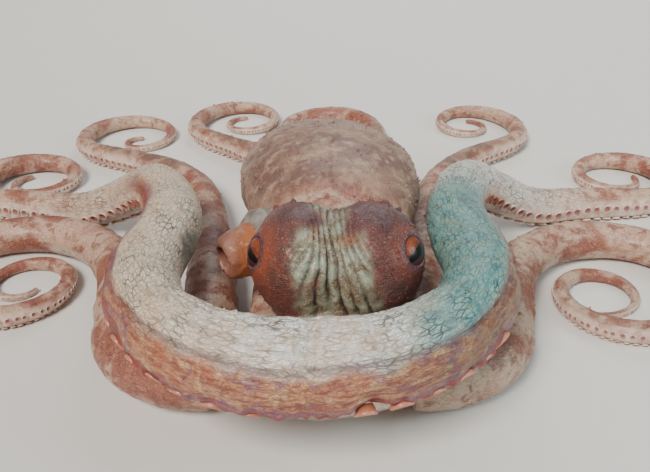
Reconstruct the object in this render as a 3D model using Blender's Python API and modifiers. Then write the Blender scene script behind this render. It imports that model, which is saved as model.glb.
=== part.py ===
"""A common octopus at rest, life size.

The head looks over a ring made by the first pair of arms, which fold round in front of it
and rise in a hump on each side before they come down to the floor behind. The other six arms
lie on the floor and end in loose coils. The bag of the mantle lies behind the head and the
funnel shows beside the animal's right eye.

Sizes are in millimetres until a mesh is made. X is to the viewer's right, Y goes back and
the floor is at Z = 0. The origin is on the floor, under the middle of the ring of arms.
"""

import math
import random

import bmesh
import bpy
import numpy as np
from mathutils import Matrix, Vector

MM = 0.001
GAP = 0.3
SEED = 11

# Head: two domes that carry the eyes, with a saddle between them.
DOME_RIGHT = ((-5.5, 4.5, 57.0), (21.5, 27.0, 25.2))
DOME_LEFT = ((25.5, 3.0, 57.5), (24.0, 27.0, 25.7))
SADDLE = ((10.0, 6.0, 54.0), (20.0, 24.0, 22.7))
NECK = ((11.0, 32.0, 51.0), (33.0, 26.0, 23.0))
HEAD_BASE = 34.0
NECK_PLANE = 40.0

# Eyes: the ball, how far its middle is sunk below the skin, and the lid round it.
EYE_RADIUS = 10.7
EYE_SUNK = 8.8
LID_RING = 7.6
LID_THICK = 1.7
EYES = (
    ("eye_right", DOME_RIGHT, (-0.84, -0.38, 0.39)),
    ("eye_left", DOME_LEFT, (0.74, -0.50, 0.48)),
)

# Mantle: a soft bag that sags on the arms under it.
MANTLE_LINE = (
    # place along Y, middle X, middle Z, half width, half height
    (26, 11, 51, 29, 21),
    (50, 10, 53, 39, 25.5),
    (80, 8, 53, 46, 28),
    (110, 6, 50, 47, 27.5),
    (140, 4, 45, 42, 24.5),
    (166, 2, 39, 31, 19),
    (184, 1, 34, 17, 11),
    (192, 1, 32, 5, 4),
)
MANTLE_BASE = ((40.0, 29.5), (195.0, 20.0))

# Funnel: a short open tube at the animal's right of its head.
FUNNEL_PATH = ((-14.0, 36.0, 47.0), (-23.0, 30.0, 50.0), (-31.5, 23.0, 51.0), (-41.0, 17.0, 49.5))
# Place along the path, radius: a flared collar, then the tube
FUNNEL_WIDTHS = ((0, 13.5), (1.0, 15.0), (1.34, 17.0), (1.66, 10.8), (2.6, 10.0), (3, 8.8))
FUNNEL_BORE = 5.6

# Crown: the flesh round the mouth, under the head, that the arms grow from.
CORE = (
    ((4.0, -6.0, 16.0), (48.0, 27.0, 20.0)),
    ((4.0, -28.0, 27.0), (42.0, 22.0, 14.0)),
)
BRIDGE = ((0.0, -71.5, 55.0), (15.0, 18.6, 17.0))
CROWN_BACK = 12.0
CROWN_TOP = 33.7
UNDER_HEAD = ((10.0, 3.0), (46.0, 42.0))
SHELF_RADIUS = 60.0
SHELF_HEIGHT = 36.0
SHELF_THICK = 12.0

# Arms: each is a line on the floor plan, given by a start, a heading and a run of bends,
# each a length and the degrees it turns through. The lift raises it off the floor.
# "roll" turns the sucker side up from the floor towards the "face" side of the arm.
STEP = 1.0
BEND_BLEND = 30
RING_LIFT_RIGHT = ((0, 35), (150, 37), (200, 35), (290, 0), (560, 0))
RING_LIFT_LEFT = ((0, 35), (150, 39), (200, 37), (290, 0), (560, 0))
ON_FLOOR = ((0, 0), (600, 0))
ARMS = (
    dict(
        name="arm_right_1", start=(-2, -72), heading=180, root=19.5, tip=1.6, taper=0.9,
        bends=((130, -104), (75, 40), (78, 48), (52, 2), (100, -170), (71, -196), (32, -124)),
        lift=RING_LIFT_RIGHT, face=1, roll=((0, 8), (110, 30), (230, 30), (330, 60), (560, 70)),
        parts=(225, 335, 435),
    ),
    dict(
        name="arm_left_1", start=(2, -72), heading=0, root=19.5, tip=1.6, taper=0.9,
        bends=((130, 104), (75, -35), (80, -50), (56, -19), (109, 179), (61, 180), (30, 100)),
        lift=RING_LIFT_LEFT, face=-1, roll=((0, 8), (110, 30), (230, 30), (330, 60), (560, 70)),
        parts=(225, 341, 448),
    ),
    dict(
        name="arm_right_2", start=(-43, -26), heading=188, root=16.5, tip=1.5, taper=1.0,
        bends=((66, -92), (50, 8), (49, 35), (50, 55), (95, 137), (82, 138), (59, 170), (30, 148)),
        lift=ON_FLOOR, face=-1, roll=((0, 20), (150, 25), (260, 60), (560, 70)),
        parts=(195, 290, 375),
    ),
    dict(
        name="arm_left_2", start=(43, -26), heading=-8, root=16.5, tip=1.5, taper=1.0,
        bends=((66, 92), (55, -12), (54, -49), (60, -73), (83, -115), (75, -122), (58, -178), (30, -98)),
        lift=ON_FLOOR, face=1, roll=((0, 20), (150, 25), (260, 60), (560, 70)),
        parts=(195, 290, 375),
    ),
    dict(
        name="arm_right_3", start=(-27, -18), heading=165, root=15.5, tip=1.5, taper=1.0,
        bends=((36, -72), (144, 8), (67, 44), (46, 13), (95, -156), (67, -169), (30, -183)),
        lift=ON_FLOOR, face=1, roll=((0, 25), (180, 35), (320, 60), (560, 70)),
        parts=(190, 293, 385),
    ),
    dict(
        name="arm_left_3", start=(27, -18), heading=15, root=15.5, tip=1.5, taper=1.0,
        bends=((36, 72), (154, -8), (57, -26), (38, -22), (92, 120), (64, 181), (44, 188)),
        lift=ON_FLOOR, face=-1, roll=((0, 25), (180, 35), (300, 60), (560, 70)),
        parts=(190, 285, 378),
    ),
    dict(
        name="arm_right_4", start=(-16, -18), heading=94, root=15.0, tip=1.5, taper=1.0,
        bends=((44, -4), (160, 4), (46, 42), (43, 7), (85, -124), (67, -180), (44, -183)),
        lift=ON_FLOOR, face=1, roll=((0, 20), (180, 35), (300, 60), (560, 70)),
        parts=(190, 293, 380),
    ),
    dict(
        name="arm_left_4", start=(17, -18), heading=86, root=15.0, tip=1.5, taper=1.0,
        bends=((44, 4), (160, -4), (54, -15), (52, 43), (66, 122), (74, 187), (40, 210)),
        lift=ON_FLOOR, face=-1, roll=((0, 20), (180, 35), (300, 60), (560, 70)),
        parts=(190, 300, 378),
    ),
)
RING_END = 72
RING_FLOOR = 36.7
ARM_SIDES = 8
TIP_SIDES = 6
ARM_HEIGHT = 0.88
ARM_REST = 1.04
RING_STEP = 0.95
RING_LEAST = 7.0
RING_BEND = 4.6

# Suckers: two rows that take turns, one each side of the middle of the arm's underside.
SUCKER_ANGLE = 30
SUCKER_STEP = 17.0
SUCKER_STEP_GROWS = 1.0
SUCKER_SIZE = 0.37
SUCKER_LEAST = 0.95
SUCKER_SUNK = 0.45
SUCKER_RISES = 0.40
CROWN_SUCKERS = (22, 43, 63)

# Web: the skin that joins the first arms in front, draped over their lower half.
DRAPES = (
    (-1, 4.0, 60.0, 8.0),
    (1, 4.0, 52.0, 6.0),
)

COLOURS = {
    "skin": ((0.46, 0.36, 0.29), 0.55),
    "head": ((0.50, 0.27, 0.17), 0.50),
    "mantle": ((0.40, 0.36, 0.32), 0.60),
    "funnel": ((0.62, 0.40, 0.30), 0.40),
    "web": ((0.62, 0.50, 0.42), 0.50),
    "eye": ((0.45, 0.18, 0.05), 0.15),
}


def clear_scene():
    for obj in list(bpy.data.objects):
        bpy.data.objects.remove(obj, do_unlink=True)
    for mesh in list(bpy.data.meshes):
        bpy.data.meshes.remove(mesh)


def collection(name, hidden=False):
    made = bpy.data.collections.new(name)
    bpy.context.scene.collection.children.link(made)
    made.hide_render = hidden
    return made


def material(name):
    colour, roughness = COLOURS[name]
    made = bpy.data.materials.get(name) or bpy.data.materials.new(name)
    made.use_nodes = True
    shader = made.node_tree.nodes["Principled BSDF"]
    shader.inputs["Base Color"].default_value = (*colour, 1)
    shader.inputs["Roughness"].default_value = roughness
    shader.inputs["Metallic"].default_value = 0
    return made


def object_from(bm, name, into):
    mesh = bpy.data.meshes.new(name)
    bm.to_mesh(mesh)
    bm.free()
    obj = bpy.data.objects.new(name, mesh)
    into.objects.link(obj)
    return obj


def box(name, low, high, into):
    bm = bmesh.new()
    bmesh.ops.create_cube(bm, size=1.0)
    low = Vector(low) * MM
    high = Vector(high) * MM
    size = Matrix.Diagonal((*(high - low), 1))
    bm.transform(Matrix.Translation((low + high) / 2) @ size)
    return object_from(bm, name, into)


def drum(name, oval, low, high, into, sides=28):
    """An upright oval cylinder from one height to another."""
    (x, y), (wide, deep) = oval
    bm = bmesh.new()
    bmesh.ops.create_cone(bm, cap_ends=True, segments=sides, radius1=1, radius2=1, depth=1)
    size = Matrix.Diagonal((wide * MM, deep * MM, (high - low) * MM, 1))
    bm.transform(Matrix.Translation(Vector((x, y, (low + high) / 2)) * MM) @ size)
    return object_from(bm, name, into)


def ellipsoid(name, centre, radii, into, rings=20):
    bm = bmesh.new()
    bmesh.ops.create_uvsphere(bm, u_segments=rings * 3 // 2, v_segments=rings, radius=1.0)
    size = Matrix.Diagonal((*(Vector(radii) * MM), 1))
    bm.transform(Matrix.Translation(Vector(centre) * MM) @ size)
    return object_from(bm, name, into)


def smoothed(values, width):
    size = max(1, int(width / STEP) | 1)
    padded = np.pad(values, size // 2, mode="edge")
    return np.convolve(padded, np.ones(size) / size, mode="valid")


def eased(at, knots):
    """A value that moves smoothly from one (place, value) knot to the next."""
    out = np.full(len(at), float(knots[0][1]))
    for (x0, y0), (x1, y1) in zip(knots[:-1], knots[1:]):
        t = np.clip((at - x0) / (x1 - x0), 0, 1)
        out += (y1 - y0) * t * t * (3 - 2 * t)
    return out


def unit(rows):
    return rows / np.linalg.norm(rows, axis=1, keepdims=True)


def route(arm):
    """The arm's centre line with its radius and, at each point, its side and up directions."""
    length = sum(run for run, _ in arm["bends"])
    s = np.arange(0, length + STEP / 2, STEP)
    turn = np.zeros(len(s))
    start = 0
    for run, degrees in arm["bends"]:
        turn[s >= start] = math.radians(degrees) / run
        start += run
    heading = math.radians(arm["heading"]) + np.cumsum(smoothed(turn, BEND_BLEND)) * STEP
    x = arm["start"][0] + np.cumsum(np.cos(heading)) * STEP
    y = arm["start"][1] + np.cumsum(np.sin(heading)) * STEP
    left = np.clip(1 - s / length, 0, 1) ** arm["taper"]
    radius = arm["tip"] + (arm["root"] - arm["tip"]) * left
    z = eased(s, arm["lift"]) + radius * ARM_REST
    points = np.stack([x, y, z], axis=1)
    along = unit(np.gradient(points, axis=0))
    side = unit(np.cross((0, 0, 1.0), along))
    up = np.cross(along, side)
    roll = np.radians(eased(s, arm["roll"]))
    return dict(s=s, points=points, along=along, side=side * arm["face"], up=up,
                radius=radius, roll=roll, length=length)


def loft(name, rings, into):
    """A closed tube through rings of points, with a flat cap at each end."""
    bm = bmesh.new()
    loops = [[bm.verts.new(Vector(point) * MM) for point in ring] for ring in rings]
    count = len(rings[0])
    for near, far in zip(loops[:-1], loops[1:]):
        for i in range(count):
            j = (i + 1) % count
            bm.faces.new((near[i], near[j], far[j], far[i]))
    bm.faces.new(loops[0][::-1])
    bm.faces.new(loops[-1])
    bmesh.ops.recalc_face_normals(bm, faces=bm.faces)
    return object_from(bm, name, into)


def arm_ring(way, i, sides, grow=0.0, shift=(0.0, 0.0)):
    """One oval section of an arm, flattest where the suckers are."""
    radius = way["radius"][i] + grow
    centre = way["points"][i] + shift[0] * way["side"][i] + shift[1] * way["up"][i]
    roll = way["roll"][i]
    down = -way["up"][i] * math.cos(roll) + way["side"][i] * math.sin(roll)
    across = np.cross(way["along"][i], down)
    ring = []
    for k in range(sides):
        angle = 2 * math.pi * (k + 0.5) / sides
        depth = math.cos(angle)
        squash = ARM_HEIGHT if depth > 0 else 0.96
        ring.append(centre + radius * (down * depth * squash + across * math.sin(angle)))
    return ring


def arm_stops(way, first, last):
    """Places for the sections, closer together where the arm is thin or bends."""
    stops = [first]
    while True:
        i = int(round(stops[-1] / STEP))
        ahead = min(i + 10, len(way["s"]) - 1)
        bend = math.acos(np.clip(np.dot(way["along"][i], way["along"][ahead]), -1, 1))
        step = RING_LEAST + way["radius"][i] * RING_STEP
        step = min(step, RING_BEND / max(bend, 0.01))
        if stops[-1] + 1.4 * step > last:
            break
        stops.append(stops[-1] + step)
    stops.append(last)
    return stops


def leaves_crown(arm, way):
    """Where along an arm the crown ends: at a set place on the ring, or behind the mouth."""
    if arm["lift"] is not ON_FLOOR:
        return RING_END
    return float(way["s"][np.argmax(way["points"][:, 1] > CROWN_BACK)])


def arm_length(name, way, first, last, sides, into):
    rings = []
    for s in arm_stops(way, first, last):
        rings.append(arm_ring(way, min(int(round(s / STEP)), len(way["s"]) - 1), sides))
    start = int(round(first / STEP))
    clear = GAP * way["along"][start]
    rings[0] = [point + clear for point in rings[0]]
    return loft(name, rings, into)


def sucker(way, s, row, sides, into, rng, lift=0.0):
    """A few-sided cup with its root sunk in the arm."""
    i = int(round(s / STEP))
    arm = way["radius"][i]
    radius = max(SUCKER_LEAST, SUCKER_SIZE * arm) * rng.uniform(0.92, 1.08)
    roll = way["roll"][i]
    down = -way["up"][i] * math.cos(roll) + way["side"][i] * math.sin(roll)
    across = np.cross(way["along"][i], down)
    angle = math.radians(SUCKER_ANGLE + rng.uniform(-3, 3)) * row
    axis = Vector(down * math.cos(angle) + across * math.sin(angle))
    reach = arm * (0.82 * math.cos(angle) ** 2 + 0.93 * math.sin(angle) ** 2) + lift
    root = reach - SUCKER_SUNK * arm
    rim = reach + SUCKER_RISES * radius
    bm = bmesh.new()
    bmesh.ops.create_cone(bm, cap_ends=True, segments=sides, radius1=0.7 * radius,
                          radius2=radius, depth=rim - root)
    top = max(bm.faces, key=lambda face: face.calc_center_median().z)
    bmesh.ops.inset_region(bm, faces=[top], thickness=0.34 * radius, depth=-0.38 * radius)
    turn = axis.to_track_quat("Z", "Y").to_matrix().to_4x4()
    middle = Vector(way["points"][i]) + axis * (root + rim) / 2
    bm.transform(Matrix.Translation(middle * MM) @ turn @ Matrix.Scale(MM, 4))
    return object_from(bm, "sucker", into)


def sucker_stops(way, first, rng):
    """Places along the whole arm, closer together as it thins."""
    stops = []
    s = first
    while s < way["length"] - 5:
        stops.append(s + rng.uniform(-1.0, 1.0))
        s += SUCKER_STEP + SUCKER_STEP_GROWS * way["radius"][int(s / STEP)]
    return stops


def bake(obj):
    """Turns an object's modifiers into its mesh."""
    graph = bpy.context.evaluated_depsgraph_get()
    mesh = bpy.data.meshes.new_from_object(obj.evaluated_get(graph))
    obj.modifiers.clear()
    obj.data = mesh
    return obj


def boolean(obj, other, operation="DIFFERENCE", solver="EXACT"):
    modifier = obj.modifiers.new(operation.title(), "BOOLEAN")
    modifier.operation = operation
    modifier.solver = solver
    if isinstance(other, bpy.types.Collection):
        modifier.operand_type = "COLLECTION"
        modifier.collection = other
    else:
        modifier.object = other
    return bake(obj)


def keep_largest(obj):
    """Leaves only the closed surface that has the most faces."""
    bm = bmesh.new()
    bm.from_mesh(obj.data)
    left = set(bm.verts)
    groups = []
    while left:
        seed = left.pop()
        group = {seed}
        edge = [seed]
        while edge:
            for link in edge.pop().link_edges:
                for vert in link.verts:
                    if vert in left:
                        left.remove(vert)
                        group.add(vert)
                        edge.append(vert)
        groups.append(group)
    groups.sort(key=len)
    spare = [vert for group in groups[:-1] for vert in group]
    bmesh.ops.delete(bm, geom=spare, context="VERTS")
    bmesh.ops.triangulate(bm, faces=bm.faces)
    bm.to_mesh(obj.data)
    bm.free()
    return obj


def flesh(name, pieces, voxel, triangles, into, smoothing=4):
    """Melts overlapping closed shapes into one soft body with few faces."""
    bm = bmesh.new()
    for piece in pieces:
        bm.from_mesh(piece.data)
        bpy.data.objects.remove(piece, do_unlink=True)
    obj = object_from(bm, name, into)
    remesh = obj.modifiers.new("Remesh", "REMESH")
    remesh.mode = "VOXEL"
    remesh.voxel_size = voxel * MM
    smooth = obj.modifiers.new("Smooth", "SMOOTH")
    smooth.factor = 0.5
    smooth.iterations = smoothing
    bake(obj)
    faces = sum(len(face.vertices) - 2 for face in obj.data.polygons)
    decimate = obj.modifiers.new("Decimate", "DECIMATE")
    decimate.ratio = min(1.0, triangles / faces)
    decimate.use_collapse_triangulate = True
    bake(obj)
    return keep_largest(obj)


def remove_all(from_collection):
    for obj in list(from_collection.objects):
        bpy.data.objects.remove(obj, do_unlink=True)


def finish(obj, name, look):
    obj.name = name
    obj.data.name = name
    obj.data.materials.clear()
    obj.data.materials.append(material(look))
    obj.data.shade_smooth()
    obj.data.set_sharp_from_angle(angle=math.radians(40))


def eye_centre(dome, looks):
    """The middle of an eye ball, set in from the dome's surface along its line of sight."""
    centre = np.array(dome[0])
    looks = np.array(looks) / np.linalg.norm(looks)
    reach = 1 / np.linalg.norm(looks / np.array(dome[1]))
    return centre + looks * (reach - EYE_SUNK), looks


def ring_about(centre, axis, radius, thick, name, into, steps=24, sides=8):
    """A torus about an axis, for a lid."""
    bm = bmesh.new()
    turn = Vector(axis).to_track_quat("Z", "Y").to_matrix().to_4x4()
    loops = []
    for i in range(steps):
        a = 2 * math.pi * i / steps
        loop = []
        for k in range(sides):
            b = 2 * math.pi * k / sides
            out = radius + thick * math.cos(b)
            loop.append(bm.verts.new((out * math.cos(a), out * math.sin(a), thick * math.sin(b))))
        loops.append(loop)
    for i in range(steps):
        near = loops[i]
        far = loops[(i + 1) % steps]
        for k in range(sides):
            m = (k + 1) % sides
            bm.faces.new((near[k], far[k], far[m], near[m]))
    bmesh.ops.recalc_face_normals(bm, faces=bm.faces)
    bm.transform(Matrix.Translation(Vector(centre) * MM) @ turn @ Matrix.Scale(MM, 4))
    return object_from(bm, name, into)


def funnel_rings(grow=0.0, scale=1.0, start=0, past=0.0):
    path = np.array(FUNNEL_PATH)
    fine = np.linspace(0, len(path) - 1, 10)
    spots = np.stack([np.interp(fine, range(len(path)), path[:, k]) for k in range(3)], axis=1)
    spots[1:-1] = (spots[:-2] + spots[1:-1] + spots[2:]) / 3
    radii = np.interp(fine, *np.transpose(FUNNEL_WIDTHS)) * scale + grow
    along = unit(np.gradient(spots, axis=0))
    spots[-1] += along[-1] * past
    side = unit(np.cross((0, 0, 1.0), along))
    up = np.cross(along, side)
    turns = [2 * math.pi * k / 12 for k in range(12)]
    return [[spots[i] + radii[i] * (side[i] * math.cos(a) + 1.15 * up[i] * math.sin(a)) for a in turns]
            for i in range(start, len(spots))]


def build_head(parts, cutters):
    pieces = [
        ellipsoid("dome_right", *DOME_RIGHT, cutters),
        ellipsoid("dome_left", *DOME_LEFT, cutters),
        ellipsoid("saddle", *SADDLE, cutters),
        ellipsoid("neck", *NECK, cutters),
    ]
    for name, dome, looks in EYES:
        centre, looks = eye_centre(dome, looks)
        rim = centre + looks * (EYE_SUNK - 1.2)
        pieces.append(ring_about(rim, looks, LID_RING, LID_THICK, name + "_lid", cutters))
    head = flesh("head", pieces, 1.8, 1550, parts)
    for name, dome, looks in EYES:
        centre, looks = eye_centre(dome, looks)
        socket = ellipsoid(name + "_socket", centre, [EYE_RADIUS + GAP] * 3, cutters, rings=10)
        boolean(head, socket)
        eye = ellipsoid(name, centre, [EYE_RADIUS] * 3, parts, rings=10)
        finish(eye, name, "eye")
    boolean(head, box("head_floor", (-60, -60, -20), (90, 120, HEAD_BASE), cutters))
    boolean(head, box("head_back", (-60, NECK_PLANE, -20), (90, 120, 120), cutters))
    boolean(head, loft("funnel_room", funnel_rings(grow=GAP + 0.15, past=10.0), cutters))
    finish(keep_largest(head), "head", "head")


def build_mantle(parts, cutters):
    rows = np.array(MANTLE_LINE, float)
    rings = []
    for y in np.linspace(rows[0, 0], rows[-1, 0], 40):
        x, z, wide, high = (np.interp(y, rows[:, 0], rows[:, k]) for k in (1, 2, 3, 4))
        turns = [2 * math.pi * k / 28 for k in range(28)]
        rings.append([(x + wide * math.cos(a), y, z + high * math.sin(a)) for a in turns])
    mantle = flesh("mantle", [loft("bag", rings, cutters)], 2.4, 800, parts, smoothing=12)
    boolean(mantle, box("mantle_front", (-80, -40, -20), (100, NECK_PLANE + GAP, 120), cutters))
    under = loft(
        "mantle_under",
        [[(x, MANTLE_BASE[0][0] - 5, -5), (x, MANTLE_BASE[1][0] + 30, -5),
          (x, MANTLE_BASE[1][0] + 30, MANTLE_BASE[1][1] - 1), (x, MANTLE_BASE[0][0] - 5, MANTLE_BASE[0][1])]
         for x in (-90, 110)],
        cutters,
    )
    boolean(mantle, under)
    boolean(mantle, loft("funnel_gap", funnel_rings(grow=GAP + 0.15), cutters))
    finish(keep_largest(mantle), "mantle", "mantle")


def build_funnel(parts, cutters):
    funnel = loft("funnel", funnel_rings(), parts)
    bore = funnel_rings(scale=FUNNEL_BORE / FUNNEL_WIDTHS[-1][1], start=6, past=4.0)
    boolean(funnel, loft("funnel_bore", bore, cutters))
    boolean(funnel, box("funnel_floor", (-80, -30, -20), (40, 70, HEAD_BASE), cutters))
    finish(keep_largest(funnel), "funnel", "funnel")


def build_web(ways, parts, cutters, cups):
    """The crown: the front of the ring, the flesh round the mouth and the roots of six arms."""
    pieces = [ellipsoid("core", *shape, cutters) for shape in (*CORE, BRIDGE)]
    for arm in ARMS:
        way = ways[arm["name"]]
        stops = np.arange(0, leaves_crown(arm, way) + 8, 4.0)
        rings = [arm_ring(way, int(s / STEP), 16) for s in stops]
        pieces.append(loft(arm["name"] + "_root", rings, cutters))
    turns = np.radians(np.linspace(-142, -38, 22))
    shelf = []
    for a in turns:
        out = np.array((math.cos(a), math.sin(a), 0.0))
        centre = out * SHELF_RADIUS + np.array((2.0, 0, SHELF_HEIGHT))
        ring = []
        for k in range(12):
            b = 2 * math.pi * k / 12
            ring.append(centre + out * 1.1 * SHELF_THICK * math.cos(b)
                        + np.array((0, 0, SHELF_THICK * math.sin(b))))
        shelf.append(ring)
    pieces.append(loft("shelf", shelf, cutters))
    for side, first, last, drop in DRAPES:
        way = ways["arm_right_1" if side < 0 else "arm_left_1"]
        rings = []
        for s in np.arange(first, last, 3.0):
            t = (s - first) / (last - first)
            swell = math.sin(math.pi * t) ** 0.5
            wave = 1.2 * math.sin(s * 0.55) * swell
            shift = (2.0 * swell, -2.0 * swell - wave * 0.4)
            rings.append(arm_ring(way, int(s / STEP), 16, grow=1.2 * swell + wave * 0.3, shift=shift))
        pieces.append(loft("drape", rings, cutters))
    crown = flesh("crown", pieces, 2.2, 1950, parts)
    boolean(crown, drum("under_head", UNDER_HEAD, CROWN_TOP, 120, cutters))
    boolean(crown, box("behind", (-130, CROWN_BACK, -20), (130, 120, 36), cutters))
    boolean(crown, box("floor", (-150, -150, -60), (150, 150, 0), cutters))
    for name in ("arm_right_1", "arm_left_1"):
        way = ways[name]
        i = int(RING_END / STEP)
        rings = []
        for ahead in (0, 9):
            centre = way["points"][i] + way["along"][i] * ahead
            rings.append([centre + 24 * (way["side"][i] * math.cos(a) + way["up"][i] * math.sin(a))
                          for a in np.radians((45, 135, 225, 315))])
        boolean(crown, loft(name + "_end", rings, cutters))
    keep_largest(crown)
    rng = random.Random(SEED)
    for name, turn in (("right", -1), ("left", 1)):
        web = bpy.data.objects.new("web_" + name, crown.data.copy())
        parts.objects.link(web)
        for k, s in enumerate(CROWN_SUCKERS):
            sucker(ways["arm_" + name + "_1"], s, -1 if k % 2 else 1, 6, cups, rng, lift=2.5)
        boolean(web, cups, "UNION")
        remove_all(cups)
        middle = GAP / 2 * turn
        low, high = sorted((middle, -200 * turn))
        boolean(web, box("web_half", (low, -150, -50), (high, 150, 150), cutters))
        boolean(web, box("web_floor", (-150, -150, -50), (150, 150, RING_FLOOR + GAP), cutters))
        finish(keep_largest(web), web.name, "web")
    boolean(crown, box("crown_roof", (-150, -150, RING_FLOOR), (150, 150, 150), cutters))
    finish(keep_largest(crown), "crown", "web")


def build_arm(arm, way, parts, cutters, cups):
    start = leaves_crown(arm, way)
    if arm["lift"] is ON_FLOOR:
        start -= 6
    rng = random.Random(arm["name"] + str(SEED))
    stops = sucker_stops(way, start + 22, rng)
    cuts = [start, *arm["parts"], way["length"]]
    for which, first, last in zip(("inner", "middle", "outer", "tip"), cuts[:-1], cuts[1:]):
        name = arm["name"] + "_" + which
        length = arm_length(name, way, first, last, TIP_SIDES if which == "tip" else ARM_SIDES, parts)
        for k, s in enumerate(stops):
            if first < s <= last:
                margin = SUCKER_SIZE * way["radius"][int(s / STEP)] * 1.15 + 0.8
                s = max(s, first + margin)
                if last < way["length"]:
                    s = min(s, last - margin)
                sucker(way, s, 1 if k % 2 else -1, 5, cups, rng)
        boolean(length, cups, "UNION")
        remove_all(cups)
        if which == "inner" and arm["lift"] is ON_FLOOR:
            boolean(length, bpy.data.objects["crown_room"])
        boolean(length, bpy.data.objects["floor_room"])
        finish(keep_largest(length), name, "skin")


def main():
    clear_scene()
    random.seed(SEED)
    parts = collection("octopus")
    cutters = collection("cutters", hidden=True)
    ways = {arm["name"]: route(arm) for arm in ARMS}
    build_head(parts, cutters)
    build_mantle(parts, cutters)
    build_funnel(parts, cutters)
    cups = collection("suckers", hidden=True)
    build_web(ways, parts, cutters, cups)
    box("crown_room", (-130, -150, -20), (130, CROWN_BACK + GAP, 36.5), cutters)
    box("floor_room", (-400, -400, -60), (400, 500, 0), cutters)
    for arm in ARMS:
        build_arm(arm, ways[arm["name"]], parts, cutters, cups)
    for cutter in cutters.objects:
        cutter.hide_render = True
        cutter.display_type = "WIRE"


main()
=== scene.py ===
# %% [markdown]
# # A common octopus at rest
#
# On the real animal almost everything is one thing: soft skin over muscle, with no bone or shell
# inside. It folds, frills, grows small spikes, and changes colour in patches a few millimetres wide.
#
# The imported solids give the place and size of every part, but they are plain and faceted. They could
# be kept and only painted, but their joins would show. So one fine skin is grown over the same forms,
# and it carries what solids are too coarse for: folds, lumps, suckers and eyelids. It is made by code
# and not by hand, so that it comes out the same each run. Lengths are in millimetres until a mesh is
# made, because an animal is easier to think of so.

# %% Load the solids
import functools
import math

import bmesh
import bpy
import numpy as np
from mathutils import Matrix, Vector, kdtree, noise


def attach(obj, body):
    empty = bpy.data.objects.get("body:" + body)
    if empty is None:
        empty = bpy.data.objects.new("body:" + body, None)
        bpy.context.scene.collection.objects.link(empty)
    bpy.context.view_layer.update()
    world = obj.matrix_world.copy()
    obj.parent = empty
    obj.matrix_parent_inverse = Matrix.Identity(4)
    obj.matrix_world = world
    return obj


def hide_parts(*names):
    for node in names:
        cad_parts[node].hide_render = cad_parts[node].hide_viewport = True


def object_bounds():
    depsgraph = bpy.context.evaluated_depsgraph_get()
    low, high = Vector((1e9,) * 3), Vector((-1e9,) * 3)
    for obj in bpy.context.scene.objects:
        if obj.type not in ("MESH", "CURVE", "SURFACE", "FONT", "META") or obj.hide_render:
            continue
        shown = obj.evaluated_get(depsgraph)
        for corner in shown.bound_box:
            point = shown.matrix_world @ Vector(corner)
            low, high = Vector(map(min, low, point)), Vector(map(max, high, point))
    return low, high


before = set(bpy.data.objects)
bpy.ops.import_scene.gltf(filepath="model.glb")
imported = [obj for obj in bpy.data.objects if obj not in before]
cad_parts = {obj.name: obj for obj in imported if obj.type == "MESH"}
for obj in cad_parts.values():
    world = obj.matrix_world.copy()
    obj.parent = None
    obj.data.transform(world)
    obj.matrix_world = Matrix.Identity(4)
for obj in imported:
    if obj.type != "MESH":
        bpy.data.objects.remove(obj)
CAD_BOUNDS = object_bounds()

MM = 0.001
SEED = 11
print("solids:", len(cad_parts))

# %% [markdown]
# ## Sizes of the animal
# A resting octopus shows a head with two raised domes that carry the eyes, a short neck, the bag of
# the mantle behind it, the funnel at its side, and eight arms round the mouth. Their sizes could be
# measured from the solids, but a mesh says only where its surface is and not how it was thought out.
# So the solids' own named sizes are written here again. An ellipsoid is a middle and three radii, the
# mantle is a row of cross-sections, and an arm is a start, a heading and a run of bends.

# %% Sizes shared with the solids
DOME_RIGHT = ((-5.5, 4.5, 57.0), (21.5, 27.0, 25.2))
DOME_LEFT = ((25.5, 3.0, 57.5), (24.0, 27.0, 25.7))
SADDLE = ((10.0, 6.0, 54.0), (20.0, 24.0, 22.7))
NECK = ((11.0, 32.0, 51.0), (33.0, 26.0, 23.0))
EYE_RADIUS = 10.7
EYE_SUNK = 8.8
LID_RING = 7.6
LID_THICK = 1.7
EYES = (
    # name, dome that carries it, the way it looks, roll of its slit in degrees
    ("eye_right", DOME_RIGHT, (-0.84, -0.38, 0.39), -13),
    ("eye_left", DOME_LEFT, (0.74, -0.50, 0.48), 16),
)
MANTLE_LINE = (
    # place along Y, middle X, middle Z, half width, half height
    (26, 11, 51, 29, 21),
    (50, 10, 53, 39, 25.5),
    (80, 8, 53, 46, 28),
    (110, 6, 50, 47, 27.5),
    (140, 4, 45, 42, 24.5),
    (166, 2, 39, 31, 19),
    (184, 1, 34, 17, 11),
    (192, 1, 32, 5, 4),
)
# The funnel's path, and its radius at each place along the path
FUNNEL_PATH = ((-14.0, 36.0, 47.0), (-23.0, 30.0, 50.0), (-31.5, 23.0, 51.0), (-41.0, 17.0, 49.5))
FUNNEL_WIDTHS = ((0, 13.5), (1.0, 15.0), (1.34, 17.0), (1.66, 10.8), (2.6, 10.0), (3, 8.8))
FUNNEL_BORE = 5.6
# Flesh of the crown, and of the bridge where the first pair of arms meet in front
CORE = (
    ((4.0, -6.0, 16.0), (48.0, 27.0, 20.0)),
    ((4.0, -28.0, 27.0), (42.0, 22.0, 14.0)),
)
BRIDGE = ((0.0, -71.5, 55.0), (15.0, 18.6, 17.0))
CROWN_BACK = 12.0
SHELF_RADIUS = 60.0
SHELF_HEIGHT = 36.0
SHELF_THICK = 12.0
STEP = 1.0
BEND_BLEND = 30
# Knots of how high an arm is lifted: place along the arm, height
RING_LIFT_RIGHT = ((0, 35), (150, 37), (200, 35), (290, 0), (560, 0))
RING_LIFT_LEFT = ((0, 35), (150, 39), (200, 37), (290, 0), (560, 0))
ON_FLOOR = ((0, 0), (600, 0))
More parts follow.
